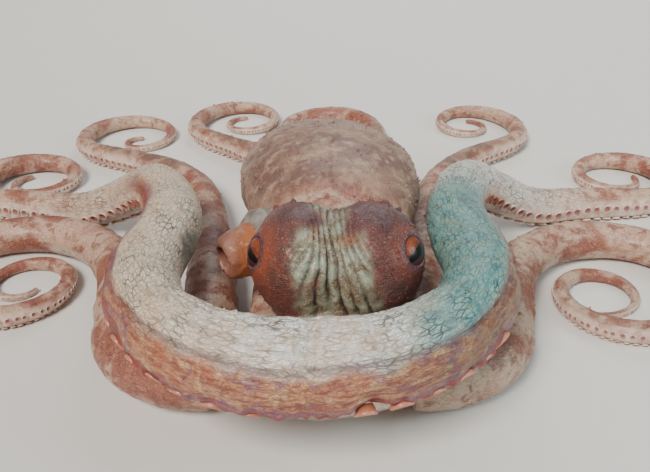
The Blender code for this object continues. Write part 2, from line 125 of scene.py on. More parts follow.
# A start and a heading, a radius at the root and the tip, bends as (run, turn in degrees), and the
# roll in degrees at places along the arm
ARMS = (
    dict(
        name="arm_right_1", start=(-2, -72), heading=180, root=19.5, tip=1.6, taper=0.9,
        bends=((130, -104), (75, 40), (78, 48), (52, 2), (100, -170), (71, -196), (32, -124)),
        lift=RING_LIFT_RIGHT, face=1, roll=((0, 8), (110, 30), (230, 30), (330, 60), (560, 70)),
    ),
    dict(
        name="arm_left_1", start=(2, -72), heading=0, root=19.5, tip=1.6, taper=0.9,
        bends=((130, 104), (75, -35), (80, -50), (56, -19), (109, 179), (61, 180), (30, 100)),
        lift=RING_LIFT_LEFT, face=-1, roll=((0, 8), (110, 30), (230, 30), (330, 60), (560, 70)),
    ),
    dict(
        name="arm_right_2", start=(-43, -26), heading=188, root=16.5, tip=1.5, taper=1.0,
        bends=((66, -92), (50, 8), (49, 35), (50, 55), (95, 137), (82, 138), (59, 170), (30, 148)),
        lift=ON_FLOOR, face=-1, roll=((0, 20), (150, 25), (260, 60), (560, 70)),
    ),
    dict(
        name="arm_left_2", start=(43, -26), heading=-8, root=16.5, tip=1.5, taper=1.0,
        bends=((66, 92), (55, -12), (54, -49), (60, -73), (83, -115), (75, -122), (58, -178), (30, -98)),
        lift=ON_FLOOR, face=1, roll=((0, 20), (150, 25), (260, 60), (560, 70)),
    ),
    dict(
        name="arm_right_3", start=(-27, -18), heading=165, root=15.5, tip=1.5, taper=1.0,
        bends=((36, -72), (144, 8), (67, 44), (46, 13), (95, -156), (67, -169), (30, -183)),
        lift=ON_FLOOR, face=1, roll=((0, 25), (180, 35), (320, 60), (560, 70)),
    ),
    dict(
        name="arm_left_3", start=(27, -18), heading=15, root=15.5, tip=1.5, taper=1.0,
        bends=((36, 72), (154, -8), (57, -26), (38, -22), (92, 120), (64, 181), (44, 188)),
        lift=ON_FLOOR, face=-1, roll=((0, 25), (180, 35), (300, 60), (560, 70)),
    ),
    dict(
        name="arm_right_4", start=(-16, -18), heading=94, root=15.0, tip=1.5, taper=1.0,
        bends=((44, -4), (160, 4), (46, 42), (43, 7), (85, -124), (67, -180), (44, -183)),
        lift=ON_FLOOR, face=1, roll=((0, 20), (180, 35), (300, 60), (560, 70)),
    ),
    dict(
        name="arm_left_4", start=(17, -18), heading=86, root=15.0, tip=1.5, taper=1.0,
        bends=((44, 4), (160, -4), (54, -15), (52, 43), (66, 122), (74, 187), (40, 210)),
        lift=ON_FLOOR, face=-1, roll=((0, 20), (180, 35), (300, 60), (560, 70)),
    ),
)
RING_END = 72
ARM_HEIGHT = 0.88
ARM_REST = 1.04

# %% [markdown]
# ## Routes of the arms
# An arm has no joints, so it bends anywhere and by any amount. It could be drawn as a curve with
# handles, but then its length would come out by chance. Here each arm is walked in steps of 1 mm, and
# every step turns the heading a little, so that the length is exact and a coil is just a long strong
# turn. Each step also keeps the arm's radius, its lift off the floor, and its roll, which says which
# way the suckers face.

# %% Smoothing, easing and unit lengths
def smoothed(values, width):
    """Values averaged over a width in millimetres."""
    size = max(1, int(width / STEP) | 1)
    padded = np.pad(values, size // 2, mode="edge")
    return np.convolve(padded, np.ones(size) / size, mode="valid")


def eased(at, knots):
    """Values that pass softly from knot to knot."""
    out = np.full(len(at), float(knots[0][1]))
    for (x0, y0), (x1, y1) in zip(knots[:-1], knots[1:]):
        t = np.clip((at - x0) / (x1 - x0), 0, 1)
        out += (y1 - y0) * t * t * (3 - 2 * t)
    return out


def step_up(values, low, high):
    """0 up to low, 1 from high on, and a soft rise between them."""
    t = np.clip((values - low) / (high - low), 0, 1)
    return t * t * (3 - 2 * t)


def unit(rows):
    """Rows scaled to a length of 1."""
    return rows / np.linalg.norm(rows, axis=-1, keepdims=True)


# %% Walk one arm
def route(arm):
    """Points, directions and radii along one arm, a step apart."""
    length = sum(run for run, _ in arm["bends"])
    s = np.arange(0, length + STEP / 2, STEP)
    turn = np.zeros(len(s))
    start = 0
    for run, degrees in arm["bends"]:
        turn[s >= start] = math.radians(degrees) / run
        start += run
    heading = math.radians(arm["heading"]) + np.cumsum(smoothed(turn, BEND_BLEND)) * STEP
    x = arm["start"][0] + np.cumsum(np.cos(heading)) * STEP
    y = arm["start"][1] + np.cumsum(np.sin(heading)) * STEP
    left = np.clip(1 - s / length, 0, 1) ** arm["taper"]
    radius = arm["tip"] + (arm["root"] - arm["tip"]) * left
    z = eased(s, arm["lift"]) + radius * ARM_REST
    points = np.stack([x, y, z], axis=1)
    along = unit(np.gradient(points, axis=0))
    side = unit(np.cross((0, 0, 1.0), along))
    up = np.cross(along, side)
    side = side * arm["face"]
    roll = np.radians(eased(s, arm["roll"]))[:, None]
    down = -up * np.cos(roll) + side * np.sin(roll)
    across = np.cross(along, down) * arm["face"]
    return dict(s=s, points=points, along=along, down=down, across=across, radius=radius,
                length=length)


# %% Walk all eight
ways = {arm["name"]: route(arm) for arm in ARMS}
for name, way in ways.items():
    print(name, round(way["length"]), "mm")

# %% [markdown]
# ## Mesh tools
# A long soft form is simplest as a loft: rings of points, one after the other, joined by faces and
# closed at both ends. A short rounded one is an ellipsoid. The helpers here make both, join and cut
# them with Boolean modifiers, and bake a modifier's result into a plain mesh, because only a plain
# mesh can then be shaped point by point.

# %% Lofts and ellipsoids
def mesh_object(name, bm):
    mesh = bpy.data.meshes.new(name)
    bm.to_mesh(mesh)
    bm.free()
    obj = bpy.data.objects.new(name, mesh)
    bpy.context.scene.collection.objects.link(obj)
    return obj


def loft_into(bm, rings):
    loops = [[bm.verts.new(Vector(point) * MM) for point in ring] for ring in rings]
    count = len(rings[0])
    for near, far in zip(loops[:-1], loops[1:]):
        for i in range(count):
            j = (i + 1) % count
            bm.faces.new((near[i], near[j], far[j], far[i]))
    bm.faces.new(loops[0][::-1])
    bm.faces.new(loops[-1])


def loft(name, rings):
    bm = bmesh.new()
    loft_into(bm, rings)
    bmesh.ops.recalc_face_normals(bm, faces=bm.faces)
    return mesh_object(name, bm)


def ellipsoid(name, centre, radii, rings=28):
    bm = bmesh.new()
    bmesh.ops.create_uvsphere(bm, u_segments=rings * 3 // 2, v_segments=rings, radius=1.0)
    size = Matrix.Diagonal((*(Vector(radii) * MM), 1))
    bm.transform(Matrix.Translation(Vector(centre) * MM) @ size)
    return mesh_object(name, bm)


# %% Baking and Booleans
def bake(obj):
    """Puts the result of an object's modifiers in place of its mesh."""
    graph = bpy.context.evaluated_depsgraph_get()
    mesh = bpy.data.meshes.new_from_object(obj.evaluated_get(graph))
    obj.modifiers.clear()
    obj.data = mesh
    return obj


def drop(obj):
    bpy.data.objects.remove(obj, do_unlink=True)


def boolean(obj, other, operation):
    modifier = obj.modifiers.new(operation, "BOOLEAN")
    modifier.operation = operation
    modifier.solver = "MANIFOLD"
    modifier.object = other
    before = len(obj.data.polygons)
    bake(obj)
    drop(other)
    print(" ", operation.lower(), before, "->", len(obj.data.polygons), "faces")
    return obj


# %% Cross-sections of an arm, and where an eye sits
BACK_HEIGHT = 0.96


def arm_ring(way, i, sides, scale=1.0):
    """A ring of points round an arm, a little flatter on the side of the suckers."""
    radius = way["radius"][i] * scale
    ring = []
    for k in range(sides):
        angle = 2 * math.pi * (k + 0.5) / sides
        depth = math.cos(angle)
        squash = ARM_HEIGHT if depth > 0 else BACK_HEIGHT
        ring.append(way["points"][i] + radius * (way["down"][i] * depth * squash
                                                 + way["across"][i] * math.sin(angle)))
    return ring


def leaves_crown(arm):
    """How far along an arm its own skin starts, past the flesh of the crown."""
    way = ways[arm["name"]]
    if arm["lift"] is not ON_FLOOR:
        return RING_END
    return float(way["s"][np.argmax(way["points"][:, 1] > CROWN_BACK)])


def eye_centre(dome, looks):
    """The middle of an eye sunk into its dome, and the direction it looks in."""
    centre = np.array(dome[0])
    looks = np.array(looks) / np.linalg.norm(looks)
    reach = 1 / np.linalg.norm(looks / np.array(dome[1]))
    return centre + looks * (reach - EYE_SUNK), looks

# %% [markdown]
# ## The body's flesh
# On the animal no seam shows where the head meets the mantle or where an arm leaves the crown,
# because muscle runs through. Forms that are only joined would meet in sharp creases, and sculpting
# them is handwork. A Remesh modifier in voxel mode melts all the overlapping forms into one closed
# mesh, as if they were dipped in wax, and a Smooth modifier softens the joins. The voxels are 2 mm,
# because the eyelids, about 3 mm thick, have to come through.

# %% An eyelid
LID_STEPS = 40
LID_SIDES = 10


def lid_ring(centre, axis, radius, thick, steps=LID_STEPS, sides=LID_SIDES):
    """A closed ring of flesh round an eye."""
    bm = bmesh.new()
    turn = Vector(axis).to_track_quat("Z", "Y").to_matrix().to_4x4()
    loops = []
    for i in range(steps):
        a = 2 * math.pi * i / steps
        loop = []
        for k in range(sides):
            b = 2 * math.pi * k / sides
            out = radius + thick * math.cos(b)
            loop.append(bm.verts.new((out * math.cos(a), out * math.sin(a), thick * math.sin(b))))
        loops.append(loop)
    for i in range(steps):
        near, far = loops[i], loops[(i + 1) % steps]
        for k in range(sides):
            m = (k + 1) % sides
            bm.faces.new((near[k], far[k], far[m], near[m]))
    bmesh.ops.recalc_face_normals(bm, faces=bm.faces)
    bm.transform(Matrix.Translation(Vector(centre) * MM) @ turn @ Matrix.Scale(MM, 4))
    return mesh_object("lid", bm)


# %% The funnel
FUNNEL_STATIONS = 22
FUNNEL_SIDES = 24
FUNNEL_TALL = 1.15


def funnel_rings(scale=1.0, start=0, past=0.0):
    """Cross-sections along the funnel, which is a little taller than wide."""
    path = np.array(FUNNEL_PATH)
    fine = np.linspace(0, len(path) - 1, FUNNEL_STATIONS)
    spots = np.stack([np.interp(fine, range(len(path)), path[:, k]) for k in range(3)], axis=1)
    for _ in range(4):
        spots[1:-1] = (spots[:-2] + spots[1:-1] + spots[2:]) / 3
    radii = np.interp(fine, *np.transpose(FUNNEL_WIDTHS)) * scale
    along = unit(np.gradient(spots, axis=0))
    spots[-1] += along[-1] * past
    side = unit(np.cross((0, 0, 1.0), along))
    up = np.cross(along, side)
    turns = [2 * math.pi * k / FUNNEL_SIDES for k in range(FUNNEL_SIDES)]
    return [[spots[i] + radii[i] * (side[i] * math.cos(a) + FUNNEL_TALL * up[i] * math.sin(a))
             for a in turns]
            for i in range(start, len(spots))]


# %% The mantle, and the shelf of web in front
MANTLE_STATIONS = 60
MANTLE_SIDES = 40
SHELF_SPAN = (-142, -38)
SHELF_MIDDLE_X = 2.0


def mantle_rings():
    """Cross-sections from the neck to the mantle's tip."""
    rows = np.array(MANTLE_LINE, float)
    turns = [2 * math.pi * k / MANTLE_SIDES for k in range(MANTLE_SIDES)]
    rings = []
    for y in np.linspace(rows[0, 0], rows[-1, 0], MANTLE_STATIONS):
        x, z, wide, high = (np.interp(y, rows[:, 0], rows[:, k]) for k in (1, 2, 3, 4))
        rings.append([(x + wide * math.cos(a), y, z + high * math.sin(a)) for a in turns])
    return rings


def shelf_rings():
    """The web that spans between the first pair of arms, under the front of the ring."""
    rings = []
    for a in np.radians(np.linspace(*SHELF_SPAN, 30)):
        out = np.array((math.cos(a), math.sin(a), 0.0))
        centre = out * SHELF_RADIUS + np.array((SHELF_MIDDLE_X, 0, SHELF_HEIGHT))
        rings.append([centre + out * 1.1 * SHELF_THICK * math.cos(b)
                      + np.array((0, 0, SHELF_THICK * math.sin(b)))
                      for b in np.linspace(0, 2 * math.pi, 16, endpoint=False)])
    return rings


# %% The roots of the arms
ROOT_RUNS_ON = 16
ROOT_SPACING = 3.0
ROOT_SIDES = 24


def root_rings(arm):
    """Cross-sections of an arm's root, which thins where it ends inside the arm's own loft."""
    way = ways[arm["name"]]
    end = leaves_crown(arm) + ROOT_RUNS_ON
    stops = np.arange(0, end, ROOT_SPACING)
    return [arm_ring(way, int(s / STEP), ROOT_SIDES, scale=1 - 0.16 * float(step_up(s, end - 30, end)))
            for s in stops]


# %% Melt them together
BODY_VOXEL = 2.0
LID_PROUD = 1.2
pieces = [ellipsoid("flesh", *shape) for shape in (DOME_RIGHT, DOME_LEFT, SADDLE, NECK, *CORE, BRIDGE)]
for name, dome, looks, _ in EYES:
    centre, looks = eye_centre(dome, looks)
    pieces.append(lid_ring(centre + looks * (EYE_SUNK - LID_PROUD), looks, LID_RING, LID_THICK))
pieces.append(loft("flesh", mantle_rings()))
pieces.append(loft("flesh", funnel_rings()))
pieces.append(loft("flesh", shelf_rings()))
for arm in ARMS:
    pieces.append(loft("flesh", root_rings(arm)))
bm = bmesh.new()
for piece in pieces:
    bm.from_mesh(piece.data)
    drop(piece)
skin = mesh_object("octopus_skin", bm)
remesh = skin.modifiers.new("Remesh", "REMESH")
remesh.mode = "VOXEL"
remesh.voxel_size = BODY_VOXEL * MM
smooth = skin.modifiers.new("Smooth", "SMOOTH")
smooth.factor = 0.5
smooth.iterations = 8
bake(skin)
print("body flesh:", len(skin.data.polygons), "faces")

# %% [markdown]
# ## Arms, eye sockets and the funnel's bore
# The arms taper to about 3 mm across, and voxels of 2 mm would eat their tips. So only their roots
# are melted into the body. The rest are fine lofts that a Boolean joins on, a little thinner where
# they start, so that the joint hides inside the root. The sockets are cut to the eyes' own radius
# with 0.15 mm to spare, and the bore follows the funnel's own path. Last, all that would lie below
# the floor is cut away, and that leaves the small flats on which the animal rests.

# %% The arms' own lofts
ARM_SIDES = 16
RING_SIDES = 30


def arm_rings(arm):
    """Cross-sections from just inside the crown to the tip, closer together where it is thin."""
    way = ways[arm["name"]]
    ring = arm["lift"] is not ON_FLOOR
    sides = RING_SIDES if ring else ARM_SIDES
    first = leaves_crown(arm) - 8
    stops = [first]
    while stops[-1] < way["length"] - 1.2:
        thick = way["radius"][int(stops[-1])]
        stops.append(stops[-1] + (1.4 + 0.10 * thick if ring else 1.7 + 0.16 * thick))
    stops[-1] = way["length"]
    rings = []
    for s in stops:
        scale = 0.86 + 0.14 * float(step_up(s, first, first + 24))
        rings.append(arm_ring(way, int(round(s)), sides, scale=scale))
    tip = np.mean(rings[-1], axis=0)
    end = way["along"][-1]
    rings.append([tip + 0.55 * (point - tip) + end * 0.9 for point in rings[-1]])
    return rings


# %% Join the arms and cut the openings
SOCKET_SPARE = 0.15
for arm in ARMS:
    boolean(skin, loft(arm["name"], arm_rings(arm)), "UNION")
for name, dome, looks, _ in EYES:
    centre, looks = eye_centre(dome, looks)
    boolean(skin, ellipsoid("socket", centre, [EYE_RADIUS + SOCKET_SPARE] * 3), "DIFFERENCE")
bore = funnel_rings(scale=FUNNEL_BORE / FUNNEL_WIDTHS[-1][1], start=12, past=4.0)
boolean(skin, loft("bore", bore), "DIFFERENCE")
bm = bmesh.new()
bmesh.ops.create_cube(bm, size=1.0)
bm.transform(Matrix.Translation((0, 0.1, -0.03)) @ Matrix.Diagonal((1, 1, 0.06, 1)))
boolean(skin, mesh_object("floor_room", bm), "DIFFERENCE")

# %% [markdown]
# ## Finer faces on the head and the ring
# The folds between the eyes lie under 5 mm apart, and each needs several faces across it. Finer
# faces everywhere would make the mesh several times as heavy. So only the longer edges on the head
# and on the front of the ring are split once more, and the skin stays under 200,000 triangles.

# %% Reading and moving the points
FLOOR_GAP = 0.02


def coordinates(mesh):
    points = np.empty(len(mesh.vertices) * 3)
    mesh.vertices.foreach_get("co", points)
    return points.reshape(-1, 3) / MM


def set_coordinates(mesh, points):
    mesh.vertices.foreach_set("co", (points * MM).ravel())
    mesh.update()


def within_box(points):
    """Keeps points inside the box of the solids, and just off the floor."""
    low, high = (np.array(corner) / MM for corner in CAD_BOUNDS)
    low[2] = FLOOR_GAP
    return np.clip(points, low, high)


# %% Split the faces that carry fine folds
LONG_EDGE = 0.9


def refine(obj, wanted):
    """Splits the longer of the wanted edges in half."""
    bm = bmesh.new()
    bm.from_mesh(obj.data)
    bmesh.ops.triangulate(bm, faces=bm.faces)
    edges = [edge for edge in bm.edges if wanted(edge) and edge.calc_length() > LONG_EDGE * MM]
    bmesh.ops.subdivide_edges(bm, edges=edges, cuts=1, use_grid_fill=False)
    bmesh.ops.triangulate(bm, faces=bm.faces)
    bm.to_mesh(obj.data)
    bm.free()


def on_show(edge):
    """True for an edge on the head or on the front of the ring."""
    x, y, z = (edge.verts[0].co + edge.verts[1].co) / (2 * MM)
    head = -34 < x < 56 and -30 < y < 34 and z > 36
    ring = y < -36 and z > 36 and abs(x) < 76
    return head or ring


refine(skin, on_show)
print("skin:", len(skin.data.polygons), "triangles")

# %% [markdown]
# ## Where each point of the skin lies
# Wrinkles, margins and colours follow an arm round all its bends. A pattern in plain X, Y and Z would
# cut straight across a coil, and a UV map would be lost in the remeshing. So every point looks up its
# nearest arm in a k-d tree, which finds near neighbours fast, and gets straightened coordinates
# there: how far along the arm, how far towards its suckers, and how far across.

# %% Straightened coordinates for every point
class Zones:
    """Holds the coordinates and the weights of a set of points."""


def nearest_arm(points):
    """For each point, the number of its nearest arm and the step along it."""
    tree = kdtree.KDTree(sum(len(way["s"]) for way in ways.values()))
    owner = []
    for number, arm in enumerate(ARMS):
        for i, point in enumerate(ways[arm["name"]]["points"]):
            tree.insert(point, len(owner))
            owner.append((number, i))
    tree.balance()
    found = np.array([owner[tree.find(point)[1]] for point in points])
    return found[:, 0], found[:, 1]


def locate(points):
    """Straightened coordinates: s along the arm, then towards its suckers and across."""
    z = Zones()
    z.points = points
    z.arm, z.index = nearest_arm(points)
    count = len(points)
    z.s, z.down, z.across, z.radius, z.leaves = (np.zeros(count) for _ in range(5))
    for number, arm in enumerate(ARMS):
        way = ways[arm["name"]]
        mine = z.arm == number
        i = z.index[mine]
        off = points[mine] - way["points"][i]
        z.s[mine] = way["s"][i] + np.sum(off * way["along"][i], axis=1)
        z.down[mine] = np.sum(off * way["down"][i], axis=1)
        z.across[mine] = np.sum(off * way["across"][i], axis=1)
        z.radius[mine] = way["radius"][i]
        z.leaves[mine] = leaves_crown(arm)
    z.off = np.hypot(z.down, z.across)
    z.angle = np.degrees(np.arctan2(z.across, z.down))
    return z


points = coordinates(skin.data)
zone = locate(points)
print("points:", len(points))

# %% [markdown]
# ## Zones of colour and form
# The skin differs from part to part: granular on the domes, folded between the eyes, smooth on the
# funnel, netted on the arms and pale between the suckers. These places could be painted by hand as
# weights. Here each is worked out from the same sizes as the form, as a smooth number from 0 to 1 on
# every point, so that it stays in its place if a size changes, and one kind of skin fades into the
# next.

# %% Lines of the folds
FOLD_GAP = 4.6
FOLD_TOP = 66.0


def fold_place(points):
    """Across the head on lines that part from its crest and run down round each dome.

    The second value is how far a point lies outside the folded middle of the head.
    """
    rise = 0.5 * points[:, 1] + 0.866 * points[:, 2]
    lean = points[:, 0] + 0.15 * (rise - 52)
    right, left = DOME_RIGHT[0][0], DOME_LEFT[0][0]
    place = np.hypot(lean - right, rise - FOLD_TOP) - np.hypot(lean - left, rise - FOLD_TOP)
    half = 8 + 9.5 * step_up(75 - rise, 3, 26)
    return place, np.abs(lean - 10) - half


# %% Soft borders and lumps
DOME_REACH = 0.12


def inside(points, shape):
    """1 inside an ellipsoid, fading to 0 just outside it."""
    away = np.linalg.norm((points - np.array(shape[0])) / np.array(shape[1]), axis=1)
    return 1 - step_up(away, 1.0 + DOME_REACH * 0.3, 1.0 + DOME_REACH)


def between(values, low, high, soft):
    """1 from low to high, fading to 0 within a soft border."""
    return step_up(values, low - soft, low + soft) * (1 - step_up(values, high - soft, high + soft))


def lumps(points, size, seed=0):
    """Smooth noise of about the given size in millimetres, -1 to 1."""
    return np.array([noise.noise(Vector(p) / size + Vector((seed * 7.3, seed * 3.1, 0)))
                     for p in points])


# %% Weigh the zones
def add_zones(z):
    """Weights from 0 to 1 for each part of the skin."""
    p = z.points
    x, y, h = p[:, 0], p[:, 1], p[:, 2]

    # Head, mantle and the ring of the first pair of arms
    head = np.max([inside(p, shape) for shape in (DOME_RIGHT, DOME_LEFT, SADDLE)], axis=0)
    first = (z.arm < 2)
    on_ring = first & (z.off < z.radius * 1.25) & (z.s < 330)
    z.head = head * (1 - on_ring * step_up(-y, 30, 40))
    z.spread, z.outside = fold_place(p)
    rows = np.array(MANTLE_LINE, float)
    mid, level, wide, high = (np.interp(y, rows[:, 0], rows[:, k]) for k in (1, 2, 3, 4))
    bag = 1 - step_up(np.hypot((x - mid) / wide, (h - level) / high), 1.10, 1.22)
    z.mantle = np.where(y > 188, h > 14, bag) * step_up(y, 34, 50)
    z.ring = np.where(first, 1 - step_up(z.s, 240, 330), 0.0) * (z.off < z.radius * 1.4)
    z.ring *= 1 - z.mantle

    # All arms, and their side with the suckers
    out = np.maximum(step_up(z.s, z.leaves - 26, z.leaves + 6),
                     1 - step_up(z.off / z.radius, 1.12, 1.4))
    z.limb = np.where(first & on_ring, 1.0, out) * (1 - z.mantle) * (1 - z.head)
    shown = np.where(first, 1 - step_up(z.s, 150, 230), 0.0)
    z.oral = between(z.angle, -62, 62 - 30 * shown, 12 - 6 * shown) * z.limb

    # The funnel, and the pale collar that it comes out of
    path = np.array(FUNNEL_PATH)
    fine = np.stack([np.interp(np.linspace(0, 3, 40), range(4), path[:, k]) for k in range(3)], axis=1)
    away = np.min(np.linalg.norm(p[:, None, :] - fine[None, 12:, :], axis=2), axis=1)
    z.funnel = (1 - step_up(away, 12.0, 13.0)) * (x < -24)
    z.collar = between(away, 12.8, 21.0, 0.8) * (x < -20) * (1 - z.head) * (1 - z.mantle)

    # The eyelids, and the skin round each eye
    z.lid = np.zeros(len(p))
    z.iris_side = np.zeros(len(p))
    for name, dome, looks, _ in EYES:
        centre, looks = eye_centre(dome, looks)
        off = p - centre
        deep = off @ looks
        wide = np.sqrt(np.maximum(np.sum(off * off, axis=1) - deep ** 2, 0))
        z.lid = np.maximum(z.lid, (deep > 4) * (1 - step_up(wide, LID_RING + 0.4, LID_RING + 1.8)))
        z.iris_side = np.maximum(z.iris_side, (deep > -4) * (1 - step_up(wide, 10, 17)))


add_zones(zone)
for name in ("head", "mantle", "ring", "limb", "oral", "funnel", "lid"):
    print(name, round(float(np.mean(getattr(zone, name))), 3))

# %% [markdown]
# ## Folds, frills and small lumps
# When the animal draws its head down, the skin between its eyes gathers in folds that part round each
# dome. The free margin along the front of the ring is frilled, a crease runs under its pale top, the
# arms are finely wrinkled, and no surface is quite even. A Displace modifier could push the skin by a
# texture, but not along such lines. So each point's push is the sum of a few waves and noises in
# millimetres, each held to its own zone, and the points then move along their normals.

# %% Folds between the eyes
def fold_height(z):
    """The ridges, the grooves between them, and how far the skin is folded at all."""
    wander = lumps(z.points, 17, 1) * 1.5 + lumps(z.points, 5, 11) * 0.5
    phase = (z.spread + wander) / FOLD_GAP
    d = np.abs(phase - np.round(phase))
    deep = 0.45 + 0.55 * step_up(lumps(z.points, 8, 12), -0.25, 0.15)
    deep = np.where(np.round(phase) == 0, 1.3, deep)
    groove = np.exp(-(d / 0.15) ** 2) * deep
    ridge = 0.5 - 0.5 * np.cos(2 * np.pi * d)
    reach = 1 - step_up(z.outside, -6, 5)
    return ridge, groove, reach * z.head


# %% The frilled margin and the crease
def margin(z):
    """The lip of the ring's front and how far it is frilled."""
    wave = lumps(np.stack([z.s, z.arm * 40.0, z.s * 0], axis=1), 7, 9) * 1.8
    wave = wave + 0.45 * np.sin(z.s * 1.15 + 2.0 * np.sin(z.s * 0.13))
    place = 45 + 5 * np.sin(z.s * 0.083)
    lip = np.exp(-((z.angle - place) / 10.0) ** 2)
    notch = np.exp(-((z.s - 18) / 7.0) ** 2) * (z.arm == 1)
    return lip * (1 - notch), wave


def seam(z):
    """The crease between the ring's pale top and its rosy front."""
    bend = 109 + 6 * np.sin(z.s * 0.045 + z.arm)
    return np.exp(-((z.angle - bend) / 4.0) ** 2) * (1 - step_up(z.s, 90, 150))


# %% How far each point is pushed
# Heights, depths and distances in millimetres
FOLD_HEIGHT, FOLD_DEPTH = 0.7, 1.15
LIP_HEIGHT, FRILL_HEIGHT = 1.9, 0.9
LINE_GAP, LINE_HEIGHT = 3.9, 0.34
SEAM_DEPTH, NOTCH_DEPTH = 1.7, 3.0
WRINKLE_GAP, WRINKLE_HEIGHT = 3.4, 0.16


def shape_skin(z):
    """The push of each point, out of the skin or into it."""
    ridge, groove, reach = fold_height(z)
    push = (FOLD_HEIGHT * ridge - FOLD_DEPTH * groove) * reach

    # The ring: its frilled lip, fine lines along it, its crease, and a notch in its front
    lip, wave = margin(z)
    ringed = z.ring * (1 - step_up(z.s, 190, 250))
    push = push + ringed * lip * (LIP_HEIGHT + FRILL_HEIGHT * wave)
    around = np.radians(z.angle) * z.radius
    wander = 2.2 * lumps(np.stack([z.s * 0.4, around, z.arm * 30.0], axis=1), 9, 7)
    lengthwise = np.sin(around * 2 * np.pi / LINE_GAP + 2.4 * wander)
    push = push + LINE_HEIGHT * lengthwise * ringed * (1 - lip)
    push = push - SEAM_DEPTH * seam(z) * ringed
    gap = np.exp(-((z.s - 17) / 6.0) ** 2) * (z.arm == 1) * between(z.angle, 12, 80, 12)
    push = push - NOTCH_DEPTH * gap * ringed

    # Lumps of three sizes, lower on the lids, among the suckers and on thin tips
    big = lumps(z.points, 15, 2)
    small = lumps(z.points, 4.2, 3)
    fine = lumps(z.points, 2.1, 4)
    calm = 1 - 0.75 * z.lid
    body = 1 - z.oral * 0.8
    thin = np.clip(z.radius / 12, 0.12, 1.0)
    thin = np.maximum(thin, np.maximum(z.mantle, z.head))
    push = push + calm * body * thin * (0.55 * big + 0.42 * small + 0.2 * fine)

    # Fine wrinkles across the other arms
    across = np.sin(z.s * 2 * np.pi / WRINKLE_GAP + 2.0 * lumps(z.points, 6, 5))
    push = push + WRINKLE_HEIGHT * across * z.limb * thin * body * (1 - z.ring)
    return push


# %% Push the skin out and in
normals = np.empty(len(points) * 3)
skin.data.vertices.foreach_get("normal", normals)
normals = normals.reshape(-1, 3)
push = shape_skin(zone)
low = step_up(points[:, 2], 0.3, 5.0)
moved = points + normals * (push * low)[:, None]
moved = within_box(moved)
set_coordinates(skin.data, moved)
zone.points = moved
print("pushed out up to", round(float(push.max()), 2), "and in by", round(float(-push.min()), 2), "mm")

# %% [markdown]
# ## The weights go onto the skin
# A material can't work out where an arm's margin is, but it can read numbers that are stored on the
# points, called attributes. An image painted on the skin would do the same, but it needs a UV map and
# a file. The borders are broken up with noise first, because no two colours of an octopus meet along
# a clean line.

# %% Two kinds of attribute
def write_float(mesh, name, values):
    layer = mesh.attributes.new(name, "FLOAT", "POINT")
    layer.data.foreach_set("value", np.asarray(values, np.float32))


def write_vector(mesh, name, rows):
    layer = mesh.attributes.new(name, "FLOAT_VECTOR", "POINT")
    layer.data.foreach_set("vector", np.asarray(rows, np.float32).ravel())


# %% All that the skin's material reads
def dress(mesh, z):
    """Stores every weight that a material reads, with its border broken up."""
    p = z.points
    x, y, h = p[:, 0], p[:, 1], p[:, 2]

    # Straightened coordinates for the net and the streaks
    sign = np.where(z.arm == 0, -1.0, 1.0)
    flow = np.stack([z.s * sign + (z.arm // 2) * 700.0, z.down, z.across], axis=1)
    write_vector(mesh, "flow", flow)
    wobble = lumps(p, 11, 6)

    # The head: its folds, its domes, where they turn darker purple, partly with painted shade, and the
    # skin round the eyes
    _, groove, reach = fold_height(z)
    # The grooves between the folds, kept as a weight that paints shade into them
    write_float(mesh, "fold", np.clip(groove, 0, 1))
    write_float(mesh, "folded", reach)
    write_float(mesh, "head", z.head)
    outer = step_up(z.outside + 11 * wobble, -13, 8) * z.head
    write_float(mesh, "dome", outer)
    # Darker purple at the top, on the animal's left and round the lower rim: partly the domes' own
    # colour, partly painted shade
    low_rim = 0.7 * (1 - step_up(0.5 * y + 0.866 * h + 6 * wobble, 30, 46))
    shaded = np.maximum(step_up(h + 6 * wobble, 70, 84), 0.6 * step_up(x + 8 * wobble, 16, 34))
    write_float(mesh, "purple_and_painted_shade", z.head * np.maximum(shaded, low_rim))
    write_float(mesh, "eyeside", z.iris_side * z.head)

    # Parts with a skin of their own
    write_float(mesh, "funnel", z.funnel)
    write_float(mesh, "collar", z.collar)
    write_float(mesh, "lid", z.lid)
    write_float(mesh, "limb", z.limb)
    write_float(mesh, "oral", z.oral)

    # The ring: rosy in front, pale on top, with a red margin and a lilac line above it
    angle = z.angle + 7 * wobble
    angle = np.where(angle < -60, angle + 360, angle)
    far = np.where(z.arm == 1, step_up(z.s, 110, 160), step_up(z.s, 190, 260))
    rosy = between(angle, 34, 108, 9) * z.ring * (1 - far)
    pale = between(angle, 34, 275, 12) * z.ring
    write_float(mesh, "rosy", rosy)
    write_float(mesh, "pale", pale)
    write_float(mesh, "ring", z.ring)
    rim_at = 40 + 44 * step_up(z.s, 52, 105) * (z.arm == 0)
    shown = z.ring * (1 - step_up(z.s, 185, 235))
    write_float(mesh, "edge", shown * between(angle - rim_at, -17, 11, 3))
    write_float(mesh, "brink", shown * between(angle - rim_at, 9, 18, 3))

    # Blue-green on the animal's left, partly its own colour and partly painted cool light from that
    # side, warm cream on its right, and the crease
    teal_and_painted_cool_light = step_up(x + 8 * wobble, 18, 62) * (1 - 0.5 * rosy) * (0.2 + 0.8 * z.ring)
    write_float(mesh, "teal_and_painted_cool_light", teal_and_painted_cool_light * (1 - step_up(y, 45, 110)))
    write_float(mesh, "warm", 1 - step_up(x + 12 * wobble, -72, -8))
    # The crease's weight, which paints shade into it
    write_float(mesh, "seam", seam(z) * z.ring)


# %% Write the attributes
dress(skin.data, zone)
skin.data.shade_smooth()
print("attributes:", len(skin.data.attributes))

# %% [markdown]
# ## Tools for materials
# A material is a tree of nodes: patterns give numbers, numbers blend colours, and the last colour
# goes into the shader. The tree could be wired by hand in the Shader editor. In code one function
# adds a node with its settings and links. Colours are written as sRGB hex values, as on a paint
# chart, and one function turns them to linear light.

